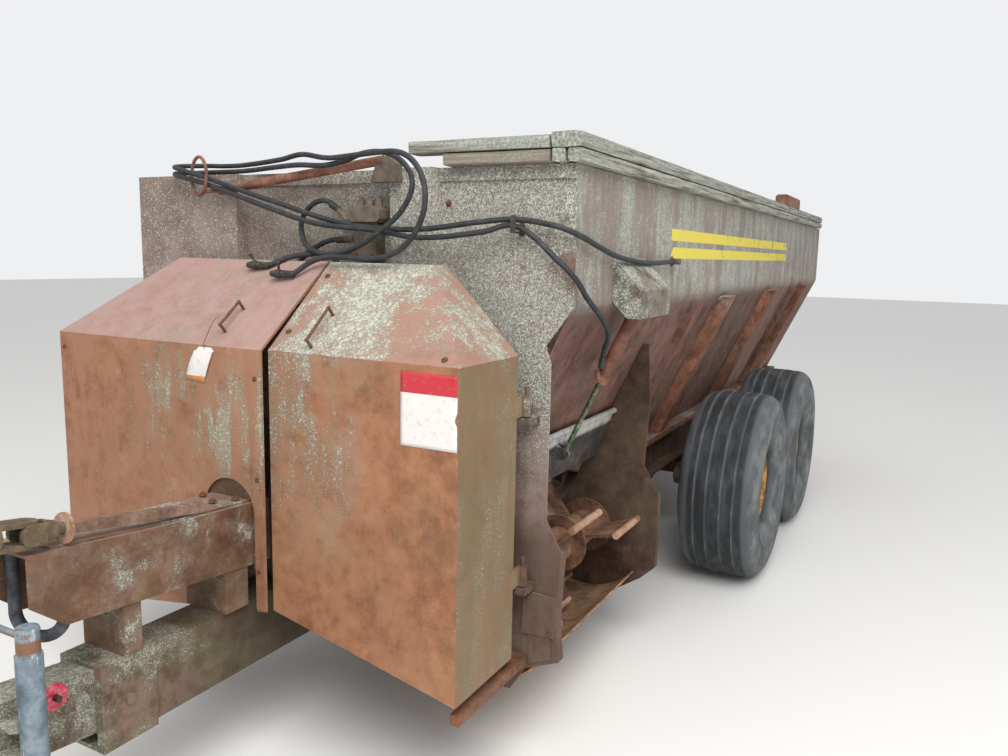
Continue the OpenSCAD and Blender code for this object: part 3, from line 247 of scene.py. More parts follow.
# Quick couplers. Two steel couplers lie on the right cover's slope, each with its crimped
# ferrule, hexagon, ribbed sleeve, knurled collar and a bent release lever.
coupler_turn = math.radians(12)
coupler_way = Vector((-math.cos(coupler_turn), -math.sin(coupler_turn), 0))
crimp = [(-0.004, 0.0112), (0.000, 0.0122), (0.018, 0.0122), (0.021, 0.0105)]
hexagon = [(0.020, 0.0125), (0.022, 0.0136), (0.032, 0.0136), (0.034, 0.0125)]
sleeve = [(0.033, 0.0130), (0.035, 0.0140), (0.048, 0.0140), (0.050, 0.0163), (0.052, 0.0166),
          (0.054, 0.0156), (0.056, 0.0166), (0.058, 0.0156), (0.060, 0.0166), (0.063, 0.0163),
          (0.065, 0.0140), (0.072, 0.0138), (0.074, 0.0128), (0.086, 0.0104), (0.088, 0.0098)]
lever_shape = [(0, 0.0040), (0.6, 0.0046), (0.8, 0.0066), (0.95, 0.0070), (1, 0.0050)]
lever_ways = {"hose_a": (0.006, -0.008, 0.032), "hose_c": (-0.018, -0.008, 0.030)}
couplers = {}
for hose_name, lever_way in lever_ways.items():
    base = lines[hose_name][1][-1]
    bm = bmesh.new()
    turned(bm, crimp, base, coupler_way)
    turned(bm, hexagon, base, coupler_way, sides=6)
    turned(bm, sleeve, base, coupler_way, sides=28)
    lever = Vector(lever_way)
    lever_foot = base + Vector((-0.056, -0.010, 0.010))
    turned(bm, [(share * lever.length, radius) for share, radius in lever_shape], lever_foot, lever, sides=12)
    couplers[hose_name] = made(hose_name + "_coupler", bm, fitting_steel, "spreader")
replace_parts(couplers["hose_a"], "couplers")


# Studio. A pale matt floor under the tyres, seen white by the camera, with an even sky of
# light and one broad lamp from above the front corner, as on an overcast day.
floor_reach = 40.0
bm = bmesh.new()
bmesh.ops.create_grid(bm, x_segments=2, y_segments=2, size=floor_reach)
mesh = bpy.data.meshes.new("studio_floor")
bm.to_mesh(mesh)
bm.free()
floor = bpy.data.objects.new("studio_floor", mesh)
bpy.context.collection.objects.link(floor)
floor_paint, _, shader = new_finish("matt_floor_paint")
shader.inputs["Base Color"].default_value = srgb("#f0efec")
shader.inputs["Roughness"].default_value = 0.95
mesh.materials.append(floor_paint)

world = bpy.data.worlds.new("even_sky")
bpy.context.scene.world = world
world.use_nodes = True
t = world.node_tree
rays = put(t, "LightPath").node.outputs
seen = put(t, "Math", [rays["Is Camera Ray"], rays["Is Glossy Ray"]], operation="MAXIMUM")
seen = put(t, "Math", [seen, rays["Is Transmission Ray"]], operation="MAXIMUM")
strength = put(t, "MapRange", {"Value": seen, "To Min": 0.72, "To Max": 0.95})
sky = t.nodes["Background"]
sky.inputs["Color"].default_value = srgb("#f4f5f7")
t.links.new(strength, sky.inputs["Strength"])

lamp_data = bpy.data.lights.new("overhead_softbox", "AREA")
lamp_data.shape = "DISK"
lamp_data.size = 6.0
lamp_data.energy = 520.0
lamp = bpy.data.objects.new("overhead_softbox", lamp_data)
lamp.location = (3.2, -3.4 + y_front, 6.6)
lamp.rotation_euler = (Vector((0.2, 1.2 + y_front, 0.8)) - lamp.location).to_track_quat("-Z", "Y").to_euler()
bpy.context.collection.objects.link(lamp)


# Front wall. An 8 mm steel plate with two folded-out panels and a rim, once painted. It is now
# mauve-brown with rust and grown over with grey crust lichen, thickest on its left half and rim.
def weathered_steel(name, rust, film=None, film_share=0.5, film_zones=(), tints=(), faces=(), runs=0.3,
                    algae=0.25, drips=None, lichen=0.3, crust=("#8f9488", "#c4c8bc"), crust_shade_and_algae="#746f64",
                    zones=(), upward=0.3, sideways=0.0, rough=0.74, paint=None, seed=0.0):
    """Oxidised plate: rust in soft mottles, what is left of a paint film, dark rain runs, green algae
    and crust lichen. A zone is (axis, start, end, least): film or lichen thins out towards its start.
    A tint is (axis, start, end, colour, share) and grows towards its end, and a face is (axis, least
    normal, colour, share). Drips are (how many to the metre, colour, share), and bare of lichen."""
    finish, t, shader = new_finish(name)
    here = put(t, "TexCoord", out="Object")
    place = put(t, "SeparateXYZ", [here]).node.outputs
    facing = put(t, "SeparateXYZ", [put(t, "TexCoord", out="Normal")]).node.outputs
    spot = put(t, "VectorMath", [here, (seed, seed * 0.7, seed * 1.3)], operation="ADD")
    # Patches of half a metre, mottles of 80 mm and grit of 6 mm, with rain runs 40 mm wide
    patches = put(t, "TexNoise", {"Vector": spot, "Scale": 1.9, "Detail": 5.0, "Roughness": 0.6})
    mottle = put(t, "TexNoise", {"Vector": spot, "Scale": 12.0, "Detail": 9.0, "Roughness": 0.72})
    grit = put(t, "TexNoise", {"Vector": spot, "Scale": 170.0, "Detail": 3.0, "Roughness": 0.6})
    drawn = put(t, "Mapping", {"Vector": spot, "Scale": (24.0, 24.0, 1.2)})
    rain = put(t, "TexNoise", {"Vector": drawn, "Scale": 1.0, "Detail": 5.0, "Roughness": 0.6})

    blend = put(t, "Math", [mottle, 0.5], operation="MULTIPLY")
    blend = put(t, "Math", [patches, 0.35, blend], operation="MULTIPLY_ADD")
    blend = put(t, "Math", [grit, 0.15, blend], operation="MULTIPLY_ADD")
    steel = put(t, "ValToRGB", {"Fac": blend}, ramp=list(zip((0.41, 0.48, 0.54, 0.61), rust)))
    if film:
        share = put(t, "Math", [patches, mottle], operation="ADD")
        share = put(t, "Math", [rain, 0.6, share], operation="MULTIPLY_ADD")
        share = put(t, "MapRange", {"Value": share, "From Min": 1.5 - 0.5 * film_share,
                                    "From Max": 1.72 - 0.5 * film_share, "To Max": 0.85})
        for axis, start, end, least in film_zones:
            zone = put(t, "MapRange", {"Value": place[axis], "From Min": start, "From Max": end,
                                       "To Min": least})
            share = put(t, "Math", [share, zone], operation="MULTIPLY")
        steel = put(t, "Mix", {"Factor": share, "A": steel, "B": srgb(film)}, out=2, data_type="RGBA")
    for axis, start, end, code, share in tints:
        sway = 0.25 if axis == "Z" else 0.5
        wavy = put(t, "Math", [patches, sway, place[axis]], operation="MULTIPLY_ADD")
        zone = put(t, "MapRange", {"Value": wavy, "From Min": start + sway / 2, "From Max": end + sway / 2,
                                   "To Max": share})
        steel = put(t, "Mix", {"Factor": zone, "A": steel, "B": srgb(code)}, out=2, data_type="RGBA")
    wet = put(t, "MapRange", {"Value": rain, "From Min": 0.5, "From Max": 0.72, "To Max": runs})
    steel = put(t, "Mix", {"Factor": wet, "A": steel, "B": srgb(rust[0])}, out=2, data_type="RGBA")
    green = put(t, "TexNoise", {"Vector": spot, "Scale": 3.3, "Detail": 6.0, "Roughness": 0.65})
    green = put(t, "MapRange", {"Value": green, "From Min": 0.45, "From Max": 0.68, "To Max": algae})
    steel = put(t, "Mix", {"Factor": green, "A": steel, "B": srgb("#6b6a4d")}, out=2, data_type="RGBA")

    # Lichen grows in colonies of 300 mm, thinned by zones and thicker on faces that look up or out
    colony = put(t, "TexNoise", {"Vector": spot, "Scale": 3.6, "Detail": 7.0, "Roughness": 0.66})
    clump = put(t, "Math", [mottle, 0.3, put(t, "Math", [colony, 0.7], operation="MULTIPLY")],
                operation="MULTIPLY_ADD")
    bare = 0.62 - 0.3 * lichen
    dense = put(t, "MapRange", {"Value": clump, "From Min": bare, "From Max": bare + 0.12})
    for axis, start, end, least in zones:
        zone = put(t, "MapRange", {"Value": place[axis], "From Min": start, "From Max": end, "To Min": least})
        dense = put(t, "Math", [dense, zone], operation="MULTIPLY")
    spread = put(t, "MapRange", {"Value": colony, "From Min": 0.3, "From Max": 0.55})
    for axis, gain in (("Z", upward), ("X", sideways)):
        extra = put(t, "MapRange", {"Value": facing[axis], "From Min": 0.2, "From Max": 0.75, "To Max": gain})
        dense = put(t, "Math", [extra, spread, dense], operation="MULTIPLY_ADD")
    # Drips six times as long as they are wide
    if drips:
        per_metre, code, share = drips
        drawn = put(t, "Mapping", {"Vector": spot, "Scale": (per_metre, per_metre, per_metre / 6)})
        drip = put(t, "TexNoise", {"Vector": drawn, "Scale": 1.0, "Detail": 5.0, "Roughness": 0.7})
        drip = put(t, "Math", [mottle, 0.5, drip], operation="MULTIPLY_ADD")
        drip = put(t, "MapRange", {"Value": drip, "From Min": 0.68, "From Max": 0.86, "To Max": share})
        steel = put(t, "Mix", {"Factor": drip, "A": steel, "B": srgb(code)}, out=2, data_type="RGBA")
        kept = put(t, "Math", [1.0, drip], operation="SUBTRACT")
        dense = put(t, "Math", [dense, kept], operation="MULTIPLY")
    for axis, least, code, share in faces:
        zone = put(t, "MapRange", {"Value": facing[axis], "From Min": least - 0.1, "From Max": least,
                                   "To Max": share})
        uneven = put(t, "MapRange", {"Value": mottle, "From Min": 0.35, "From Max": 0.6, "To Min": 0.55})
        zone = put(t, "Math", [zone, uneven], operation="MULTIPLY")
        steel = put(t, "Mix", {"Factor": zone, "A": steel, "B": srgb(code)}, out=2, data_type="RGBA")
    # Crusts: crumbs of 4 mm, and round growths of 4 and 8 mm that swell where the lichen is dense
    # Where the lichen is dense the plate first darkens to an underlay: dark algae, with painted shade between
    # the crusts
    ground = put(t, "MapRange", {"Value": dense, "From Min": 0.2, "To Max": 0.7})
    steel = put(t, "Mix", {"Factor": ground, "A": steel, "B": srgb(crust_shade_and_algae)}, out=2, data_type="RGBA")
    grain = put(t, "TexNoise", {"Vector": spot, "Scale": 230.0, "Detail": 3.0, "Roughness": 0.65})
    cut = put(t, "MapRange", {"Value": dense, "From Min": 0.3, "To Min": 0.75, "To Max": 0.5})
    crumbs = put(t, "Math", [grain, cut], operation="SUBTRACT")
    growths = put(t, "MapRange", {"Value": crumbs, "From Max": 0.05, "To Max": 0.85})
    for scale in (270.0, 130.0):
        cell = put(t, "TexVoronoi", {"Vector": spot, "Scale": scale}).node.outputs
        pick = put(t, "SeparateXYZ", [cell["Color"]]).node.outputs
        size = put(t, "Math", [pick["X"], dense], operation="MULTIPLY")
        size = put(t, "Math", [size, 0.72, -0.06], operation="MULTIPLY_ADD")
        disc = put(t, "Math", [size, cell["Distance"]], operation="SUBTRACT")
        disc = put(t, "MapRange", {"Value": disc, "From Max": 0.1, "To Max": 0.85})
        growths = put(t, "Math", [growths, disc], operation="MAXIMUM")
    # Each of the larger growths has its own grey, and a few are yellowish
    hue = put(t, "Math", [pick["Y"], 0.6], operation="MULTIPLY")
    hue = put(t, "Math", [grain, 0.6, hue], operation="MULTIPLY_ADD")
    hue = put(t, "ValToRGB", {"Fac": hue}, ramp=[(0.45, crust[0]), (0.8, crust[1]), (0.97, crust[1]),
                                                 (1.0, "#b3a878")])
    colour = put(t, "Mix", {"Factor": growths, "A": steel, "B": hue}, out=2, data_type="RGBA")
    if paint:
        colour = paint(t, place, facing, mottle, colour)

    t.links.new(colour, shader.inputs["Base Color"])
    dull = put(t, "MapRange", {"Value": growths, "To Min": rough, "To Max": 0.95})
    t.links.new(dull, shader.inputs["Roughness"])
    shader.inputs["Specular IOR Level"].default_value = 0.35
    level = put(t, "Math", [mottle, 0.8, growths], operation="MULTIPLY_ADD")
    level = put(t, "Math", [grit, 0.35, level], operation="MULTIPLY_ADD")
    fine = put(t, "Bump", {"Strength": 0.45, "Distance": 0.002, "Height": level})
    dents = put(t, "TexNoise", {"Vector": spot, "Scale": 2.6, "Detail": 1.0})
    dented = put(t, "Bump", {"Strength": 0.2, "Distance": 0.02, "Height": dents, "Normal": fine})
    t.links.new(dented, shader.inputs["Normal"])
    return finish


bodies = frame["record"]["behaviour"]["bodies"]
body_of = {node: body for body, nodes in bodies.items() for node in nodes}


def eased(node, finish, radius, steps=2, parts=()):
    """A piece in the place of a solid, with the radius of folded or rolled edges. Its faces
    take another finish where one of the tests in parts holds for their middle."""
    bm = bmesh.new()
    bm.from_mesh(frame["nodes"][node].data)
    bmesh.ops.remove_doubles(bm, verts=bm.verts, dist=0.00002)
    bmesh.ops.dissolve_limit(bm, angle_limit=math.radians(0.5), verts=bm.verts, edges=bm.edges)
    obj = made(node + "_worn", bm, finish, body_of[node])
    for index, (other, test) in enumerate(parts, start=1):
        obj.data.materials.append(other)
        for face in obj.data.polygons:
            if test(face.center - to_frame):
                face.material_index = index
    edge = obj.modifiers.new("rolled_edge", "BEVEL")
    edge.width = radius
    edge.segments = steps
    edge.limit_method = "ANGLE"
    edge.angle_limit = math.radians(32)
    edge.harden_normals = True
    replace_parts(obj, node)


def bolt(bm, spot, way, across, tall):
    """A hexagon bolt with its washer and the end of its thread, in shares of the width across."""
    base = Vector(spot) + to_frame
    washer, corner = across * 0.8, across * 0.577
    turned(bm, [(-0.002, washer), (0.0022, washer), (0.003, across * 0.72)], base, way, sides=18)
    turned(bm, [(0.002, corner), (tall - 0.0015, corner), (tall, across * 0.48)], base, way, sides=6)
    turned(bm, [(tall - 0.001, across * 0.3), (tall + 0.003, across * 0.27)], base, way, sides=10)


# Oxidised wall plate: mauve-brown and matt under pale crusts, darkened towards its foot by painted shade
wall_plate = weathered_steel(
    "oxidised_wall_plate", ("#71534a", "#926f64", "#a6837a", "#b89a90"), film="#b59c93", film_share=0.5,
    runs=0.4, tints=[("Z", 1.15, 0.8, "#544236", 0.85)], lichen=1.05, crust=("#a0a498", "#d0d3c9"),
    crust_shade_and_algae="#757067", zones=[("X", -0.5, 0.45, 0.72), ("Z", 0.8, 1.3, 0.2)], upward=0.4)
eased("front_wall", wall_plate, 0.003)

# Rusted bolts: dark brown, flaking in scales of 7 mm, without any shine
rusty_bolts = clouded(
    "rusted_bolts", 140.0, [(0.35, "#3b2820"), (0.5, "#66432f"), (0.65, "#86603f")], rough=0.85,
    bump=(0.5, 0.001))
bm = bmesh.new()
for x, z in ((0.866, 0.598), (0.955, 0.484)):
    bolt(bm, (x, -0.010, z), (0, -1, 0), across=0.014, tall=0.007)
for z in (1.33, 1.52, 1.71, 1.95):
    bolt(bm, (0.52, 0.0, z), (0, -1, 0), across=0.015, tall=0.007)
made("front_wall_bolts", bm, rusty_bolts, "spreader")

# Rear wall. The same plate, closing the tank behind, with folded stiffeners across and up it
# and two bolted bearing flanges for the augers. Nothing of it shows in the photo.

# Oxidised rear plate: darker and less overgrown, with long drips below the rim
rear_plate = weathered_steel(
    "oxidised_rear_plate", ("#4f352b", "#6b4739", "#80594a", "#93705f"), lichen=0.5, film="#94807a",
    film_share=0.35, zones=[("Z", 0.9, 1.7, 0.2)], drips=(7.0, "#7c5d54", 0.6), seed=3.1)
eased("rear_wall", rear_plate, 0.003)
rim_fold, flange_t = 0.05, 0.012
auger_x, auger_z, bolt_circle = 0.285, 0.78, 0.084
flange_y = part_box("rear_wall")[1].y - y_front - rim_fold + flange_t
bm = bmesh.new()
for x in (-auger_x, auger_x):
    for turn in range(6):
        a = math.radians(30 + 60 * turn)
        spot = (x + bolt_circle * math.cos(a), flange_y, auger_z + bolt_circle * math.sin(a))
        bolt(bm, spot, (0, 1, 0), across=0.014, tall=0.008)
made("rear_bearing_bolts", bm, rusty_bolts, "spreader")


# Side sheets. Upright above and slanting below, with hat-section ribs, thin ribs and a rolled
# rim. The left one keeps a grey-mauve film and two chipped yellow stripes above the fold.
def yellow_stripes(t, place, facing, mottle, steel):
    """The two painted stripes on the outer face of the upright part. They are chipped, more so
    towards their rear ends, and the lower one starts on a slant."""
    outer = put(t, "Math", [facing["X"], 0.5], operation="GREATER_THAN")
    ends = put(t, "Math", [place["Y"], 3.93 + y_front], operation="LESS_THAN")
    age = put(t, "MapRange", {"Value": place["Y"], "From Min": 1.6 + y_front, "From Max": 3.9 + y_front,
                              "To Max": 0.09})
    flaw = put(t, "Math", [mottle, age], operation="ADD")
    kept = put(t, "MapRange", {"Value": flaw, "From Min": 0.64, "From Max": 0.68, "To Min": 0.95,
                               "To Max": 0.12})
    kept = put(t, "Math", [kept, outer], operation="MULTIPLY")
    kept = put(t, "Math", [kept, ends], operation="MULTIPLY")
    for low, high, start, lean in ((1.854, 1.905, 1.045, 0.0), (1.777, 1.826, 1.075, 0.9)):
        above = put(t, "Math", [place["Z"], low], operation="GREATER_THAN")
        below = put(t, "Math", [place["Z"], high], operation="LESS_THAN")
        leaning = put(t, "Math", [place["Z"], -lean, place["Y"]], operation="MULTIPLY_ADD")
        begun = put(t, "Math", [leaning, start + y_front - lean * high], operation="GREATER_THAN")
        band = put(t, "Math", [above, below], operation="MULTIPLY")
        band = put(t, "Math", [band, begun], operation="MULTIPLY")
        band = put(t, "Math", [band, kept], operation="MULTIPLY")
        steel = put(t, "Mix", {"Factor": band, "A": steel, "B": srgb("#e8d654")}, out=2, data_type="RGBA")
    return steel


# Side plates: pale grey-mauve and matt above the fold, rust-brown below it, with drips of 140 mm
slant_rust = ("#44291f", "#5b392d", "#714a3b", "#88604d")
left_plate = weathered_steel(
    "faded_side_plate", slant_rust, film="#a49f96", film_share=1.25, film_zones=[("Z", 1.575, 1.63, 0.04)],
    runs=0.35, algae=0.3, drips=(7.0, "#82635d", 0.55), lichen=1.3, crust=("#9fa399", "#cdd0c7"),
    crust_shade_and_algae="#8f8c82", zones=[("Z", 1.5, 1.66, 0.06)], upward=0.7, seed=5.2, paint=yellow_stripes)
right_plate = weathered_steel(
    "faded_right_plate", slant_rust, film="#a49f96", film_share=1.25,
    film_zones=[("Z", 1.575, 1.63, 0.04)], runs=0.4, algae=0.35, drips=(7.0, "#7d5e57", 0.8), lichen=0.9,
    crust_shade_and_algae="#88837a", zones=[("Z", 1.5, 1.66, 0.06)], upward=0.7, seed=7.9)
# Rib sheet: a lighter and redder brown, because the ribs stand out into the light
rib_plate = weathered_steel(
    "lit_rib_sheet", ("#50301f", "#6f4535", "#8a5a47", "#a2745f"), runs=0.4, algae=0.3, lichen=0.45,
    crust_shade_and_algae="#8a8074", zones=[("Z", 1.4, 1.57, 0.1)], upward=0.8, seed=9.4)
fold_z, foot_x, foot_z, slant = 1.6, 0.62, 0.785, 0.38 / 0.825


def on_rib(c):
    """True for a face over 12 mm off the slanting sheet, which runs from its foot to the fold."""
    return c.z < fold_z and abs(c.x) - foot_x - (c.z - foot_z) * slant > 0.012


eased("side_left", left_plate, 0.003, parts=[(rib_plate, on_rib)])
eased("side_right", right_plate, 0.003, parts=[(rib_plate, on_rib)])


# Top boards. Weathered softwood planks, grey and split along the grain, with lichen on top and
# ragged ends: two narrow ones under a wide one on the left side, two on the front wall.
def weathered_wood(name, along, seed, stain=None):
    """Softwood silvered by the sun, with open fibres along one axis, moss and grey lichen. A stain is
    (height below which it lies, colour, share)."""
    finish, t, shader = new_finish(name)
    here = put(t, "TexCoord", out="Object")
    spot = put(t, "VectorMath", [here, (seed, seed, seed)], operation="ADD")
    # Fibres 13 mm wide, drawn coarser than the real 2 mm so that they show, stains of 290 mm
    stretch = (3.0, 75.0, 75.0) if along == "X" else (75.0, 3.0, 75.0)
    drawn = put(t, "Mapping", {"Vector": spot, "Scale": stretch})
    fibres = put(t, "TexNoise", {"Vector": drawn, "Scale": 1.0, "Detail": 7.0, "Roughness": 0.7,
                                 "Distortion": 0.3})
    stains = put(t, "TexNoise", {"Vector": spot, "Scale": 3.5, "Detail": 6.0, "Roughness": 0.65})
    tone = put(t, "Math", [stains, 0.3], operation="MULTIPLY")
    tone = put(t, "Math", [fibres, 0.7, tone], operation="MULTIPLY_ADD")
    wood = put(t, "ValToRGB", {"Fac": tone}, ramp=[(0.36, "#3b382f"), (0.44, "#7d7b6f"), (0.53, "#a9a89e"),
                                                   (0.66, "#c9c9c0")])
    if stain:
        top, code, share = stain
        height = put(t, "SeparateXYZ", [here], out="Z")
        zone = put(t, "MapRange", {"Value": height, "From Min": top, "From Max": top - 0.004,
                                   "To Max": share})
        wood = put(t, "Mix", {"Factor": zone, "A": wood, "B": srgb(code)}, out=2, data_type="RGBA")
    # Crumbs of moss and lichen of 9 mm, thick where the wood is stained
    grain = put(t, "TexNoise", {"Vector": spot, "Scale": 110.0, "Detail": 5.0, "Roughness": 0.75})
    cut = put(t, "MapRange", {"Value": stains, "From Min": 0.42, "From Max": 0.66, "To Min": 0.66,
                              "To Max": 0.45})
    crumbs = put(t, "Math", [grain, cut], operation="SUBTRACT")
    crumbs = put(t, "MapRange", {"Value": crumbs, "From Max": 0.06, "To Max": 0.75})
    moss = put(t, "Mix", {"Factor": stains, "A": srgb("#a9ac97"), "B": srgb("#8b9a86")}, out=2,
               data_type="RGBA")
    wood = put(t, "Mix", {"Factor": crumbs, "A": wood, "B": moss}, out=2, data_type="RGBA")
    t.links.new(wood, shader.inputs["Base Color"])
    shader.inputs["Roughness"].default_value = 0.92
    level = put(t, "Math", [fibres, 2.0, crumbs], operation="MULTIPLY_ADD")
    furry = put(t, "Bump", {"Strength": 0.8, "Distance": 0.004, "Height": level})
    t.links.new(furry, shader.inputs["Normal"])
    return finish


def plank(bm, a, b, width, low, high, seed, ragged=0.02):
    """A worn plank from a to b in plan. Its corners and ends are eaten away, always inwards."""
    a, b = Vector(a), Vector(b)
    way = (b - a).normalized()
    side = Vector((-way.y, way.x))
    stations = max(10, int((b - a).length / 0.05))
    section = [(-1, -1), (-0.4, -1), (0.3, -1), (1, -1), (1, -0.3), (1, 0.4), (1, 1), (0.5, 1), (0, 1),
               (-0.5, 1), (-1, 1), (-1, 0.2)]
    rings = []
    for i in range(stations + 1):
        ring = []
        for k, (u, v) in enumerate(section):
            here = a.lerp(b, i / stations)
            wear = 0.5 + 0.5 * noise.noise((here.x * 5 + seed, here.y * 5, k * 3.7))
            wear += 0.9 if abs(u) == 1 and abs(v) == 1 else 0.0
            bite = 0.0022 * wear
            if i in (0, stations):
                eaten = ragged * (0.5 + 0.5 * noise.noise((k * 1.9, seed * 3, i)))
                here = here + way * eaten * (1 if i == 0 else -1)
            flat = here + side * u * (width / 2 - bite)
            height = (low + high) / 2 + v * ((high - low) / 2 - bite)
            ring.append(bm.verts.new((flat.x, flat.y + y_front, height)))
        rings.append(ring)
    skin(bm, rings)


rim_z, board_t = 2.070, 0.045
seat_z, joint_z, front_joint_z = rim_z + 0.0005, rim_z + board_t, rim_z + board_t - 0.002
# Silvered planks: grey, furry with open fibres and quite dull, the front ones stained by rust
grey_wood_y = weathered_wood("silvered_plank_side", "Y", 1.7)
grey_wood_x = weathered_wood("silvered_plank_front", "X", 4.4, stain=(joint_z, "#7f6a56", 0.55))
bm = bmesh.new()
plank(bm, (0.9545, -0.060), (0.9545, 5.478), 0.048, seat_z, joint_z, 1)
plank(bm, (1.009, -0.058), (1.009, 5.478), 0.050, seat_z, joint_z, 2)
plank(bm, (0.982, -0.063), (0.982, 5.466), 0.106, joint_z, joint_z + board_t + 0.005, 3)
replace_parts(made("left_planks", bm, grey_wood_y, "spreader", smooth=50), "board_left")
bm = bmesh.new()
plank(bm, (0.524, -0.011), (0.930, -0.009), 0.094, seat_z, front_joint_z, 4, ragged=0.012)
plank(bm, (0.384, -0.011), (0.930, -0.014), 0.096, front_joint_z, joint_z + board_t - 0.002, 5, ragged=0.012)
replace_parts(made("front_planks", bm, grey_wood_x, "spreader", smooth=50), "board_front")
bm = bmesh.new()
nail_head = [(-0.004, 0.005), (0.0, 0.005), (0.0008, 0.0035)]
for x, y in ((0.60, -0.03), (0.86, 0.0), (0.42, -0.02), (0.95, 0.06), (1.01, 0.08), (0.96, 1.4), (1.0, 2.7),
             (0.96, 4.1), (1.0, 5.3)):
    top = rim_z + 2 * board_t + (0.003 if x > 0.9 else -0.004)
    turned(bm, nail_head, Vector((x, y + y_front, top)), (0, 0, 1), sides=10)
made("board_nails", bm, rusty_bolts, "spreader")


# Front covers. Two bevelled covers of 6 mm sheet, orange-brown with rust, meet at a lapped seam.
# The left one is a door on two hinges, its top thick with lichen; the right one stays pinker.

# Door sheet: warm orange-brown and matt, with pale drips of 70 mm, its top and side grown over
door_sheet = weathered_steel(
    "rusted_door_sheet", ("#84573e", "#9a684a", "#aa7755", "#b78867"), film="#a6876f", film_share=0.2,
    faces=[("Z", 0.5, "#a37d73", 0.85), ("X", 0.9, "#6f684c", 0.8)], runs=0.15, algae=0.3,
    drips=(14.0, "#a5765a", 0.5), lichen=0.8, crust=("#979d8c", "#c9cbbf"), crust_shade_and_algae="#8f8270",
    zones=[("X", 0.62, 0.42, 0.0), ("Z", 0.6, 1.2, 0.12)], upward=0.95, sideways=0.6, seed=11.0)
# Right cover's sheet: pinker, with many narrow runs of rust through pale lichen
right_sheet = weathered_steel(
    "rusted_cover_sheet", ("#8a5d45", "#9c6c51", "#a97a5f", "#b58b74"), film="#ab8d78", film_share=0.2,
    faces=[("Z", 0.5, "#ab8e89", 0.9)], runs=0.25, algae=0.3, drips=(22.0, "#a1745b", 0.9), lichen=0.78,
    crust=("#959b86", "#bcc1ae"), crust_shade_and_algae="#918069", upward=0.3, seed=14.3,
    zones=[("X", -0.62, -0.4, 0.05), ("Z", 0.82, 1.05, 0.05), ("Z", 1.5, 1.3, 0.45)])
# Hinge rust: dark umber, where water stands longest
hinge_rust = weathered_steel(
    "dark_hinge_rust", ("#46332a", "#5c463a", "#71594a", "#87705e"), lichen=0.6, runs=0.2,
    zones=[("Z", 0.9, 1.2, 0.2)], seed=15.5)
# How far the door and the right cover stand out below the bend, and how far both do at their top
door_depth, cover_depth, top_depth = 0.48, 0.505, 0.165
bend_z, slope_rise = 1.455, 0.285
door_hinge_x, rail_hinge_x = 0.868, 0.862


def off_slope(depth):
    """A test for the handle on the slope of the cover that stands out by depth."""
    run = depth - top_depth
    return lambda c: ((c.z - bend_z) * run - (c.y + depth) * slope_rise) / math.hypot(run, slope_rise) > 0.006


eased("cover_left", door_sheet, 0.004, steps=3,
      parts=[(rusty_bolts, off_slope(door_depth)), (hinge_rust, lambda c: c.x > door_hinge_x)])
eased("cover_right", right_sheet, 0.004, steps=3, parts=[(rusty_bolts, off_slope(cover_depth))])
bm = bmesh.new()
slope_run = door_depth - top_depth
slope = math.atan2(slope_rise, slope_run)
slope_up = Vector((0, -math.sin(slope), math.cos(slope)))
for x, share in ((0.165, 0.83), (0.165, 0.2), (0.80, 0.06)):
    spot = (x, -door_depth + slope_run * share, bend_z + slope_rise * share)
    bolt(bm, spot, slope_up, across=0.013, tall=0.006)
made("door_bolts", bm, rusty_bolts, "cover_door")
lap_t = 0.003
bm = bmesh.new()
for x, z in ((0.098, 1.36), (0.098, 1.02), (0.098, 0.70), (-0.88, 1.40), (-0.88, 0.55)):
    bolt(bm, (x, -cover_depth - (lap_t if x > 0 else 0), z), (0, -1, 0), across=0.010, tall=0.004)
made("cover_bolts", bm, rusty_bolts, "spreader")


# Blank plate and tag. A printed vinyl plate with a red head and no lettering sits on the door,
# dirty and nicked at its right edge. A blank card tag with an orange end hangs by its wire.
def printed(name, edge, below, above, dirt, grime, share, rough):
    """A sheet printed in one colour below an edge and in another above it, under a share of grime.
    Its dirt is (spots to the metre, detail, roughness, least)."""
    finish, t, shader = new_finish(name)
    where = put(t, "TexCoord", out="Object")
    height = put(t, "SeparateXYZ", [where], out="Z")
    head = put(t, "Math", [height, edge], operation="GREATER_THAN")
    spots = put(t, "TexNoise", {"Vector": where, "Scale": dirt[0], "Detail": dirt[1], "Roughness": dirt[2]})
    ink = put(t, "Mix", {"Factor": head, "A": srgb(below), "B": srgb(above)}, out=2, data_type="RGBA")
    soiled = put(t, "MapRange", {"Value": spots, "From Min": dirt[3], "From Max": 0.75, "To Max": share})
    ink = put(t, "Mix", {"Factor": soiled, "A": ink, "B": srgb(grime)}, out=2, data_type="RGBA")
    t.links.new(ink, shader.inputs["Base Color"])
    shader.inputs["Roughness"].default_value = rough
    return finish


def thin_sheet(cols, rows, place):
    """A grid of faces whose corners lie where place puts each share across and share up or down."""
    bm = bmesh.new()
    corners = [bm.verts.new(place(i / cols, j / rows)) for j in range(rows + 1) for i in range(cols + 1)]
    for j in range(rows):
        for i in range(cols):
            k = j * (cols + 1) + i
            bm.faces.new((corners[k], corners[k + 1], corners[k + cols + 2], corners[k + cols + 1]))
    return bm


plate_x, plate_y, plate_z = (0.659, 0.857), -door_depth - 0.0005, (1.207, 1.431)


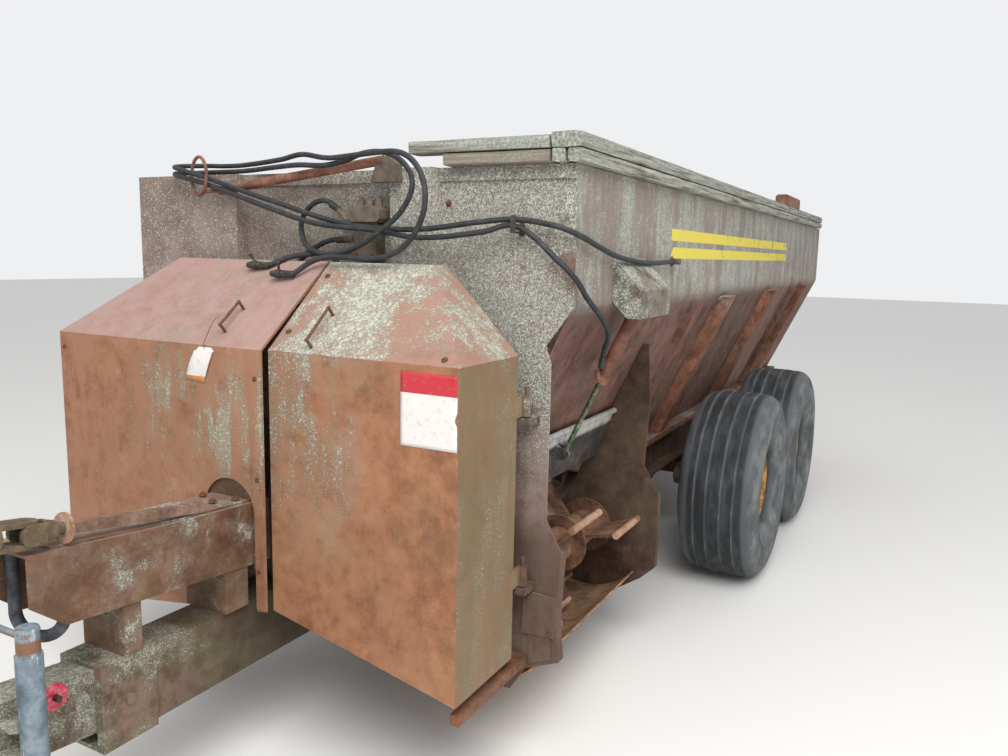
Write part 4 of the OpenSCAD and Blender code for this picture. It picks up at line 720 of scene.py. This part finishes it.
def on_plate(u, v):
    """The plate bulges a little off the door, with a nick in its edge and one corner curled."""
    nick = 0.010 * max(0.0, 1 - abs(v - 0.42) / 0.09) if u == 1 else 0.0
    curl = 0.005 * max(0.0, (u - 0.86) / 0.14) * max(0.0, (v - 0.9) / 0.1)
    wave = 0.0012 + 0.0006 * noise.noise((u * 7, v * 7, 2.0))
    x = plate_x[0] + (plate_x[1] - plate_x[0]) * u - nick
    return x, plate_y - wave - curl + y_front, plate_z[0] + (plate_z[1] - plate_z[0]) * v


tag_y = -0.5075
tag_corners = [Vector((x, 0, z)) for x, z in ((-0.168, 1.449), (-0.084, 1.449), (-0.136, 1.325),
                                              (-0.223, 1.335))]


def on_tag(u, v):
    """The tag hangs askew from its wire, clipped at its upper corners and bowed outwards."""
    spot = tag_corners[0].lerp(tag_corners[1], u).lerp(tag_corners[3].lerp(tag_corners[2], u), v)
    clip = 0.012 * max(0.0, 1 - v * 8) * (abs(u - 0.5) > 0.45)
    bow = 0.007 * math.sin(math.pi * v) * (1 - 0.5 * u)
    return spot.x, tag_y - bow + y_front, spot.z - clip


# Printed vinyl: slightly glossy and off-white with a faded red head, brown dirt in 20 mm spots
vinyl = printed("weathered_vinyl_plate", 1.369, "#e9e3df", "#c5323d", (45.0, 8.0, 0.7, 0.55), "#a48474", 0.7,
                rough=0.45)
# Tag card: dull off-white with an orange end, soiled in spots of 17 mm
card = printed("tag_card", 1.348, "#d98a4a", "#e6e2dc", (60.0, 6.0, 0.5, 0.5), "#b7a797", 0.4, rough=0.7)
bm = thin_sheet(18, 20, on_plate)
plate = made("blank_warning_plate", bm, vinyl, "cover_door", smooth=60)
plate.modifiers.new("vinyl", "SOLIDIFY").thickness = 0.0009
tag = made("blank_card_tag", thin_sheet(6, 8, on_tag), card, "spreader", smooth=60)
tag.modifiers.new("card", "SOLIDIFY").thickness = 0.0007


def swept(bm, points, radius, sides=10):
    """A round wire or bar along points that count from the tank's front wall."""
    points = [Vector(p) + to_frame for p in points]
    turns = [2 * math.pi * k / sides for k in range(sides)]
    up, rings = None, []
    for i, here in enumerate(points):
        before, after = points[max(i - 1, 0)], points[min(i + 1, len(points) - 1)]
        way = (after - before).normalized()
        up = (way.orthogonal() if up is None else up - way * up.dot(way)).normalized()
        side = way.cross(up)
        rings.append([bm.verts.new(here + (up * math.cos(a) + side * math.sin(a)) * radius) for a in turns])
    skin(bm, rings)


bm = bmesh.new()
swept(bm, [(-0.128, -0.509, 1.444), (-0.120, -0.518, 1.462), (-0.108, -0.512, 1.492), (-0.096, -0.506, 1.522),
           (-0.088, -0.500, 1.540), (-0.080, -0.497, 1.548), (-0.078, -0.488, 1.551)], 0.0011, sides=6)
made("tag_wire", bm, rusty_bolts, "spreader")

# Drive block and rail behind the covers. Greasy cast housings of the gearbox and chains, and
# the angle rail under the covers with the door's two hinge pins.

# Greasy castings: near black and half shiny with old grease and dust
greasy = weathered_steel(
    "greasy_castings", ("#2e2722", "#42372f", "#564638", "#6b563f"), lichen=0.0, runs=0.4, algae=0.1,
    upward=0.0, seed=17.0, rough=0.55)
# Rail: the covers' orange-brown, but rubbed and nearly free of lichen
rail_rust = weathered_steel(
    "rusted_rail", ("#5b3a2c", "#7c4f3b", "#93634b", "#a5775c"), lichen=0.15, runs=0.2, upward=0.2,
    seed=19.0)
eased("drive_block", greasy, 0.006, steps=3)
eased("cover_rail", rail_rust, 0.0015, parts=[(hinge_rust, lambda c: c.x > rail_hinge_x and c.z > 0.45)])

# Driveline channel. A folded cover of 8 mm plate with a cap strip on its bend, welded to two
# open posts that stand on the tongue. Red-brown, with lichen in clouds of a hand's width.

# Channel plate: red-brown and matt, paler along its rounded top where feet and rain wear it
channel_plate = weathered_steel(
    "rusted_channel_plate", ("#523829", "#674938", "#795643", "#8c6a58"), film="#8c7264", film_share=0.2,
    faces=[("Z", 0.5, "#9a8073", 0.75)], runs=0.25, algae=0.4, lichen=0.5, crust_shade_and_algae="#75695a", upward=0.1,
    seed=23.5)
eased("driveline_channel", channel_plate, 0.0025)
collar_r, collar_z, collar_foot, seat_top = 0.126, 0.888, 0.70, 0.9345
channel_x, collar_y, collar_t = -0.035, -0.4955, 0.003
arch = [math.pi * k / 20 for k in range(21)]
outline = [(collar_r * math.cos(a), collar_z + collar_r * math.sin(a)) for a in arch]
outline += [(-collar_r, collar_foot), (-0.1, collar_foot), (-0.1, seat_top), (0.1, seat_top),
            (0.1, collar_foot), (collar_r, collar_foot)]
bm = bmesh.new()
collar = bm.faces.new([bm.verts.new((x + channel_x, y_front + collar_y, z)) for x, z in outline])
grown = bmesh.ops.extrude_face_region(bm, geom=[collar])["geom"]
bmesh.ops.translate(bm, vec=(0, collar_t, 0), verts=[v for v in grown if isinstance(v, bmesh.types.BMVert)])
made("channel_collar", bm, channel_plate, "spreader")
channel_y, channel_z, channel_rise = -0.42, 0.942, 0.058
bm = bmesh.new()
for x, y in ((-0.10, -0.56), (-0.01, -0.60), (0.02, -0.53)):
    bolt(bm, (x, y, channel_z + (channel_y - y) * channel_rise), (0, 0, 1), across=0.016, tall=0.009)
made("channel_bolts", bm, rusty_bolts, "spreader")

# Tongue and hitch. A square main tube with the sleeve that takes the sloping hitch tube and
# its clevis. Mill scale gone to brown rust, thick lichen on the sides, algae on the top.

# Tongue tube: earthy brown, darkened to a dark olive by painted shadow where it runs under the covers, its
# lichen in sheets
tongue_steel = weathered_steel(
    "rusted_tongue_tube", ("#433326", "#5a4637", "#6e5645", "#846b5a"), film="#857063", film_share=0.3,
    tints=[("Y", -0.85 + y_front, -0.5 + y_front, "#3d3629", 0.7)], runs=0.2, algae=0.5, lichen=0.75,
    crust=("#878a78", "#b3b5a5"), crust_shade_and_algae="#6f6959", zones=[("Y", -0.6 + y_front, -0.85 + y_front, 0.3)],
    upward=0.2, seed=27.0)
# Hitch tube: paler, its top bleached grey
hitch_steel = weathered_steel(
    "rusted_hitch_tube", ("#4d3a2b", "#685244", "#7f6656", "#937c6b"), film="#857063", film_share=0.3,
    faces=[("Z", 0.5, "#94897e", 0.6)], runs=0.2, algae=0.4, lichen=0.85, crust=("#878a78", "#b9bbac"),
    crust_shade_and_algae="#777163", upward=0.5, seed=29.0)
knob_y, knob_z, pin_foot_x, pin_reach = -1.220, 0.585, 0.027, 0.012


def on_pin(c):
    """True for a face of the plated pin that carries the red knob."""
    return c.x > pin_foot_x and abs(c.y - knob_y) < pin_reach and c.z > knob_z - 0.015


eased("tongue", tongue_steel, 0.005, steps=3)
eased("hitch", hitch_steel, 0.005, steps=3, parts=[(fitting_steel, on_pin)])

# Stored driveline end. The tractor's half of the shaft lies on the channel: a square bar, a
# sun-bleached plastic guard disc and two forged yokes with grease and moss on them.

# Drive bar: light brown and nearly clean, rubbed by its sleeve
bar_steel = weathered_steel(
    "brown_drive_bar", ("#5c453a", "#7c6153", "#937767", "#ab9282"), lichen=0.12, runs=0.1, algae=0.15,
    upward=0.25, seed=31.0)
# Yokes: dark forged iron under olive moss
yoke_iron = weathered_steel(
    "mossy_yokes", ("#3d3229", "#554536", "#6c5a46", "#826d57"), lichen=0.45, runs=0.1, algae=0.35,
    upward=0.3, seed=33.0, crust=("#7f8166", "#a2a38c"))
# Bleached disc: plastic gone pale tan and dull in clouds of 30 mm
bleached = clouded(
    "bleached_guard_disc", 35.0, [(0.35, "#85634f"), (0.5, "#ad886e"), (0.65, "#c3a68f")], rough=0.6,
    spread=0.65)
shaft_foot = Vector((0.040, -1.152, 1.0316))
shaft_tilt, disc_half = math.radians(8), 0.0045
shaft_way = Vector((0, -math.cos(shaft_tilt), math.sin(shaft_tilt)))


def along_shaft(c):
    """How far a place lies along the shaft from the middle of its disc."""
    return (c - shaft_foot).dot(shaft_way)


eased("stored_shaft", bar_steel, 0.002, parts=[(bleached, lambda c: abs(along_shaft(c)) < disc_half),
                                               (yoke_iron, lambda c: along_shaft(c) > disc_half)])

# Jack. A painted tube, blue-grey and scuffed, with a rusty rim under its cap and the crank
# laid away from the chute. Its foot stands on the ground. A red cast knob locks the hitch pin.

# Jack paint: blue-grey and half glossy in clouds of 60 mm, with upright scratches of 14 mm down
# to pale primer, and rust round the rim under the cap and where the paint has flaked
jack_paint, t, shader = new_finish("scuffed_jack_paint")
where = put(t, "TexCoord", out="Object")
height = put(t, "SeparateXYZ", [where], out="Z")
cloud = put(t, "TexNoise", {"Vector": where, "Scale": 16.0, "Detail": 8.0, "Roughness": 0.7})
drawn = put(t, "Mapping", {"Vector": where, "Scale": (70.0, 70.0, 5.0)})
scrape = put(t, "TexNoise", {"Vector": drawn, "Scale": 1.0, "Detail": 6.0, "Roughness": 0.65})
tone = put(t, "ValToRGB", {"Fac": cloud}, ramp=[(0.35, "#55636b"), (0.5, "#71808a"), (0.65, "#8f9ea7")])
bare = put(t, "MapRange", {"Value": scrape, "From Min": 0.6, "From Max": 0.66, "To Max": 0.8})
tone = put(t, "Mix", {"Factor": bare, "A": tone, "B": srgb("#cfd8dc")}, out=2, data_type="RGBA")
cap_rim_z = 0.785
from_rim = put(t, "Math", [height, cap_rim_z], operation="SUBTRACT")
from_rim = put(t, "Math", [from_rim], operation="ABSOLUTE")
rim_rust = put(t, "MapRange", {"Value": from_rim, "From Min": 0.022, "From Max": 0.014})
flaked = put(t, "MapRange", {"Value": cloud, "From Min": 0.60, "From Max": 0.66})
rusted = put(t, "Math", [rim_rust, flaked], operation="MAXIMUM")
tone = put(t, "Mix", {"Factor": rusted, "A": tone, "B": srgb("#805c46")}, out=2, data_type="RGBA")
t.links.new(tone, shader.inputs["Base Color"])
shader.inputs["Roughness"].default_value = 0.5
t.links.new(put(t, "Bump", {"Strength": 0.3, "Distance": 0.001, "Height": cloud}), shader.inputs["Normal"])
eased("jack_tube", jack_paint, 0.002)
eased("jack_leg", jack_paint, 0.0015)

# Knob red: strong and a little faded, under a thin gloss
knob_red = clouded(
    "red_cast_knob", 60.0, [(0.35, "#a92c40"), (0.5, "#c93f56"), (0.68, "#dc6f80")], rough=0.38,
    detail=5.0, spread=0.5, coat=0.3)
knob_middle = Vector((0.049, knob_y + y_front, knob_z))
knob_section = [(0.0095, 0.003), (0.022, 0.0035), (0.0255, 0.001), (0.031, 0.0008), (0.036, 0.004),
                (0.0378, 0.010), (0.036, 0.016), (0.031, 0.0192), (0.0255, 0.019), (0.022, 0.0165),
                (0.0095, 0.0165)]
lobes, lobe_from, lobe_depth = 8, 0.03, 0.035
bm = bmesh.new()
rings = []
for k in range(64):
    a = 2 * math.pi * k / 64
    ring = []
    for r, x in knob_section:
        swell = 1 - lobe_depth * (r > lobe_from) * (0.5 - 0.5 * math.cos(lobes * a))
        ring.append(bm.verts.new(knob_middle + Vector((x, r * swell * math.cos(a), r * swell * math.sin(a)))))
    rings.append(ring)
skin(bm, rings, closed=True)
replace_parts(made("lobed_knob", bm, knob_red, "spreader"), "jack_knob")

# Rubber loop. A bend of thick reinforced rubber hose hung under the channel's mouth, dull
# blue-grey, with the two raised bands of its covering.
loop_rubber = clouded(
    "bloomed_rubber", 26.0, [(0.35, "#2c2d31"), (0.5, "#43454c"), (0.66, "#5f626a")], rough=0.6,
    detail=7.0, spread=0.65, bump=(0.3, 0.001))
eased("rubber_loop", loop_rubber, 0.001)

# Discharge. The chute's rear plate, the slide and trough, and the rotor with its banks of
# blades, worn down to smooth orange-brown on the bars and black with old manure inside.

# Chute plate: nearly black brown, matt with caked manure
chute_plate = weathered_steel(
    "dark_chute_plate", ("#38281f", "#4c382e", "#5d473b", "#705747"), lichen=0.12, runs=0.4, algae=0.25,
    upward=0.1, seed=37.0)
# Scoured trough: light orange-brown, kept bare by what slides over it, and lightened further as painted light
# where it lies in shadow in the discharge
trough_plate = weathered_steel(
    "scoured_trough_with_painted_light", ("#6f5642", "#94755b", "#b29073", "#c9aa8c"), lichen=0.0, runs=0.3, algae=0.1,
    upward=0.0, seed=41.0)
# Rotor: brown in the middle, its bars rubbed pale and smoother at their tips
rotor_rust = weathered_steel(
    "rotor_steel", ("#4b3428", "#71513e", "#8f6c55", "#a68269"), lichen=0.0, runs=0.15, algae=0.05,
    upward=0.0, seed=43.0)
bar_rust = weathered_steel(
    "worn_rotor_bars", ("#8a6650", "#a57d65", "#b99279", "#cba98f"), lichen=0.0, runs=0.1, algae=0.0,
    upward=0.0, seed=44.0, rough=0.6)
rotor_x, rotor_z, bar_from = 0.67, 0.54, 0.225
eased("chute_rear_plate", chute_plate, 0.002)
eased("rotor_trough", trough_plate, 0.0015)
eased("rotor", rotor_rust, 0.0015,
      parts=[(bar_rust, lambda c: math.hypot(c.x - rotor_x, c.z - rotor_z) > bar_from)])

# Gate. A hinged plate over the discharge with a turned-out foot and the lugs for its cylinder.
# Its steel is dark and matt, but still bright on its upper strip.
gate_steel = weathered_steel(
    "part_bright_gate", ("#2c2725", "#3b3532", "#4f4945", "#68625c"), film="#c6c4be", film_share=1.2,
    film_zones=[("Z", 1.04, 1.055, 0.0)], lichen=0.1, runs=0.4, algae=0.1, upward=0.1, seed=47.0,
    rough=0.6)
eased("gate", gate_steel, 0.001)

# Gate cylinder and hood. A short hydraulic cylinder, its paint gone to rust, with a dull rod.
# It hangs from a pin under a bent hood of grey galvanised sheet.

# Barrel: brown rust with a trace of gloss where paint is left
barrel_paint = weathered_steel(
    "rusted_cylinder", ("#4a2f25", "#664033", "#7d5242", "#946a58"), lichen=0.1, runs=0.1, algae=0.1,
    upward=0.1, seed=51.0, rough=0.6)
# Rod: dull chrome under a green-grey film, shiny enough to catch the light
rod_chrome = clouded(
    "dull_chrome_rod", 50.0, [(0.35, "#3f4a3a"), (0.55, "#5f6f55"), (0.7, "#8c9a80")], rough=0.42,
    spread=0.5, metal=0.55)
# Hood: bleached grey-brown sheet, half grown over
hood_steel = weathered_steel(
    "weathered_hood", ("#54453a", "#716459", "#8a7f74", "#a19a90"), lichen=0.7, film="#9c958b",
    film_share=0.6, runs=0.4, algae=0.3, upward=0.4, seed=53.0)
eased("gate_cylinder", barrel_paint, 0.0015)
eased("gate_rod", rod_chrome, 0.001)
eased("cylinder_bracket", hood_steel, 0.002)

# Hydraulic fittings on the front wall. The cast valve with three plugs, the boom bar with its
# ring, the strap clip at the corner, the elbow on the left side and a box on the boards.

# Cast iron: grey-brown and matt. Boom: redder rust. Strap: nearly black.
cast_iron = weathered_steel(
    "valve_cast_iron", ("#453a32", "#5f5248", "#75685c", "#8d8072"), lichen=0.35, runs=0.2, algae=0.3,
    upward=0.3, seed=57.0)
boom_rust = weathered_steel(
    "rusted_boom", ("#603c2e", "#7c5140", "#936757", "#a97f6e"), lichen=0.2, runs=0.1, algae=0.15,
    upward=0.3, seed=59.0)
strap_steel = weathered_steel(
    "dark_strap", ("#29241f", "#3b342e", "#4f453c", "#65594c"), lichen=0.1, runs=0.1, upward=0.1,
    seed=61.0)
eased("valve_block", cast_iron, 0.002)
gusset_x = 0.24
eased("hose_boom", boom_rust, 0.0015, parts=[(cast_iron, lambda c: c.x > gusset_x)])
eased("hose_clip", strap_steel, 0.001)
eased("side_fitting", cast_iron, 0.001)
eased("top_bracket", boom_rust, 0.002)
bm = bmesh.new()
for x, z in ((0.165, 1.765), (0.235, 1.765), (0.165, 1.865), (0.235, 1.865)):
    bolt(bm, (x, -0.060, z), (0, -1, 0), across=0.013, tall=0.007)
made("valve_bolts", bm, rusty_bolts, "spreader")

# Frame and running gear. Channel rails, cross tubes, the pivot tube and the two walking beams
# with their spindles, all brown-black with rust and mud under the tank.

# Muddy frame: very dark red-brown, dusty and matt
frame_rust = weathered_steel(
    "muddy_frame", ("#33241d", "#4a342a", "#5e4437", "#745848"), lichen=0.05, runs=0.2, algae=0.15,
    upward=0.2, seed=67.0)
eased("frame", frame_rust, 0.003)
eased("beam_left", frame_rust, 0.005, steps=3)
eased("beam_right", frame_rust, 0.005, steps=3)

# Wheels. Four ribbed implement tyres, grey with age and dust, cracked finely on the walls, on
# painted steel rims of faded yellow-orange with eight nuts and a rubber valve.

# Tyre rubber: dark on the tread and dusty grey on the walls, in shoulders and grooves, blotched
# in rings of 140 mm, with a fine crackle of 7 mm and hardly any shine
old_rubber, t, shader = new_finish("aged_tyre_rubber")
where = put(t, "TexCoord", out="Object")
ringed = put(t, "Mapping", {"Vector": where, "Scale": (22.0, 7.0, 7.0)})
dust = put(t, "TexNoise", {"Vector": ringed, "Scale": 1.0, "Detail": 7.0, "Roughness": 0.62})
crackle = put(t, "TexNoise", {"Vector": where, "Scale": 150.0, "Detail": 5.0, "Roughness": 0.7})
sideways = put(t, "SeparateXYZ", [put(t, "TexCoord", out="Normal")], out="X")
sideways = put(t, "Math", [sideways], operation="ABSOLUTE")
wall = put(t, "MapRange", {"Value": sideways, "From Min": 0.45, "From Max": 0.9})
tread_tone = put(t, "ValToRGB", {"Fac": dust}, ramp=[(0.36, "#1f2123"), (0.5, "#2d3033"), (0.66, "#43474b")])
dusted = put(t, "Attribute", out="Fac", attribute_name="dusty")
tread_tone = put(t, "Mix", {"Factor": dusted, "A": tread_tone, "B": srgb("#6b6f71")}, out=2, data_type="RGBA")
wall_tone = put(t, "ValToRGB", {"Fac": dust}, ramp=[(0.36, "#46494a"), (0.5, "#616466"), (0.66, "#808384")])
tone = put(t, "Mix", {"Factor": wall, "A": tread_tone, "B": wall_tone}, out=2, data_type="RGBA")
t.links.new(tone, shader.inputs["Base Color"])
shader.inputs["Roughness"].default_value = 0.82
level = put(t, "Math", [dust, 0.5, crackle], operation="MULTIPLY_ADD")
t.links.new(put(t, "Bump", {"Strength": 0.4, "Distance": 0.0015, "Height": level}), shader.inputs["Normal"])

# Rim paint: orange-yellow, chalked and rusted through in patches of 110 mm
rim_paint = clouded(
    "faded_rim_paint", 9.0, [(0.38, "#5b3f27"), (0.46, "#8d6030"), (0.52, "#bb8638"), (0.66, "#cfa356")],
    rough=0.6, detail=9.0, bump=(0.3, 0.001))

tyre_r, tyre_half, groove = 0.52, 0.21, 0.013
around = 120
# One half of the section from the middle of the tread: (radius, share of half the width)
half = [(tyre_r - 0.0005, 0.0)]
for start, end, drop in ((0.150, 0.210, 0.000), (0.455, 0.515, 0.003)):
    low_r, lip_r, top_r = tyre_r - groove - drop, tyre_r - 0.003 - drop, tyre_r - 0.001 - drop
    half += [(top_r, start - 0.008), (lip_r, start), (low_r, start + 0.010),
             (low_r - 0.001, (start + end) / 2), (low_r, end - 0.010), (lip_r, end), (top_r, end + 0.008)]
half += [(tyre_r - drop, share) for drop, share in (
    (0.007, 0.64), (0.011, 0.72), (0.017, 0.78), (0.027, 0.835), (0.030, 0.850), (0.036, 0.885),
    (0.052, 0.935), (0.070, 0.968), (0.085, 0.985), (0.087, 0.998), (0.093, 0.999), (0.095, 0.988),
    (0.118, 0.994), (0.140, 0.990), (0.168, 0.972), (0.170, 0.982), (0.177, 0.980), (0.179, 0.968),
    (0.200, 0.945), (0.228, 0.900))]
half += [(0.2600, 0.850), (0.2500, 0.810), (0.2440, 0.790), (0.2160, 0.600)]
inside = [(0.2130, 0.40), (0.2600, 0.50), (0.3700, 0.82), (0.4600, 0.70), (0.4780, 0.0)]
profile = [(r, -w) for r, w in reversed(half[1:])] + half
profile += inside + [(r, -w) for r, w in reversed(inside[:-1])]
# Dust lies in the grooves and on the shoulders and walls
dust_share = [0.6 if r < tyre_r - 0.008 and abs(w) < 0.6 else 0.55 if abs(w) > 0.7 else 0.0
              for r, w in profile]
for corner in ("front_left", "rear_left", "front_right", "rear_right"):
    low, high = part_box("tyre_" + corner)
    centre = (low + high) / 2
    out = 1 if corner.endswith("left") else -1
    bm = bmesh.new()
    rings = []
    for k in range(around):
        a = 2 * math.pi * k / around
        ring = []
        for r, w in profile:
            y, z = math.cos(a), math.sin(a)
            bite = 0.0014 * max(0.0, noise.noise((r * y * 9, r * z * 9, w * 3 + centre.y)))
            ring.append(bm.verts.new(centre + Vector((out * w * tyre_half, (r - bite) * y, (r - bite) * z))))
        rings.append(ring)
    skin(bm, rings, closed=True)
    tyre = made("ribbed_tyre_" + corner, bm, old_rubber, "wheel_" + corner, smooth=40)
    tyre.data.attributes.new("dusty", "FLOAT", "POINT").data.foreach_set("value", dust_share * around)
    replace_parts(tyre, "tyre_" + corner)
    eased("rim_" + corner, rim_paint, 0.002)
    bm = bmesh.new()
    foot = centre + Vector((out * 0.060, 0.150, 0.095))
    valve = [(0, 0.0075), (0.02, 0.0065), (0.034, 0.0045), (0.035, 0.0055), (0.044, 0.0052)]
    turned(bm, valve, foot, (out, 0.1, 0.1), sides=12)
    made("valve_" + corner, bm, old_rubber, "wheel_" + corner)

# Augers and trough. Tubes and flights scoured by manure to a dull brown, over a W-shaped floor
# of plate. They are seen through the discharge and from above.
auger_steel = weathered_steel(
    "scoured_auger_steel", ("#3f2f27", "#594439", "#70584a", "#876f5d"), lichen=0.0, runs=0.1, algae=0.05,
    upward=0.0, seed=71.0, rough=0.6)
for node in ("trough", "tube_left", "tube_right", "flight_left", "flight_right"):
    material_slot = frame["nodes"]["auger_" + node].material_slots[0]
    material_slot.link = "OBJECT"
    material_slot.material = auger_steel
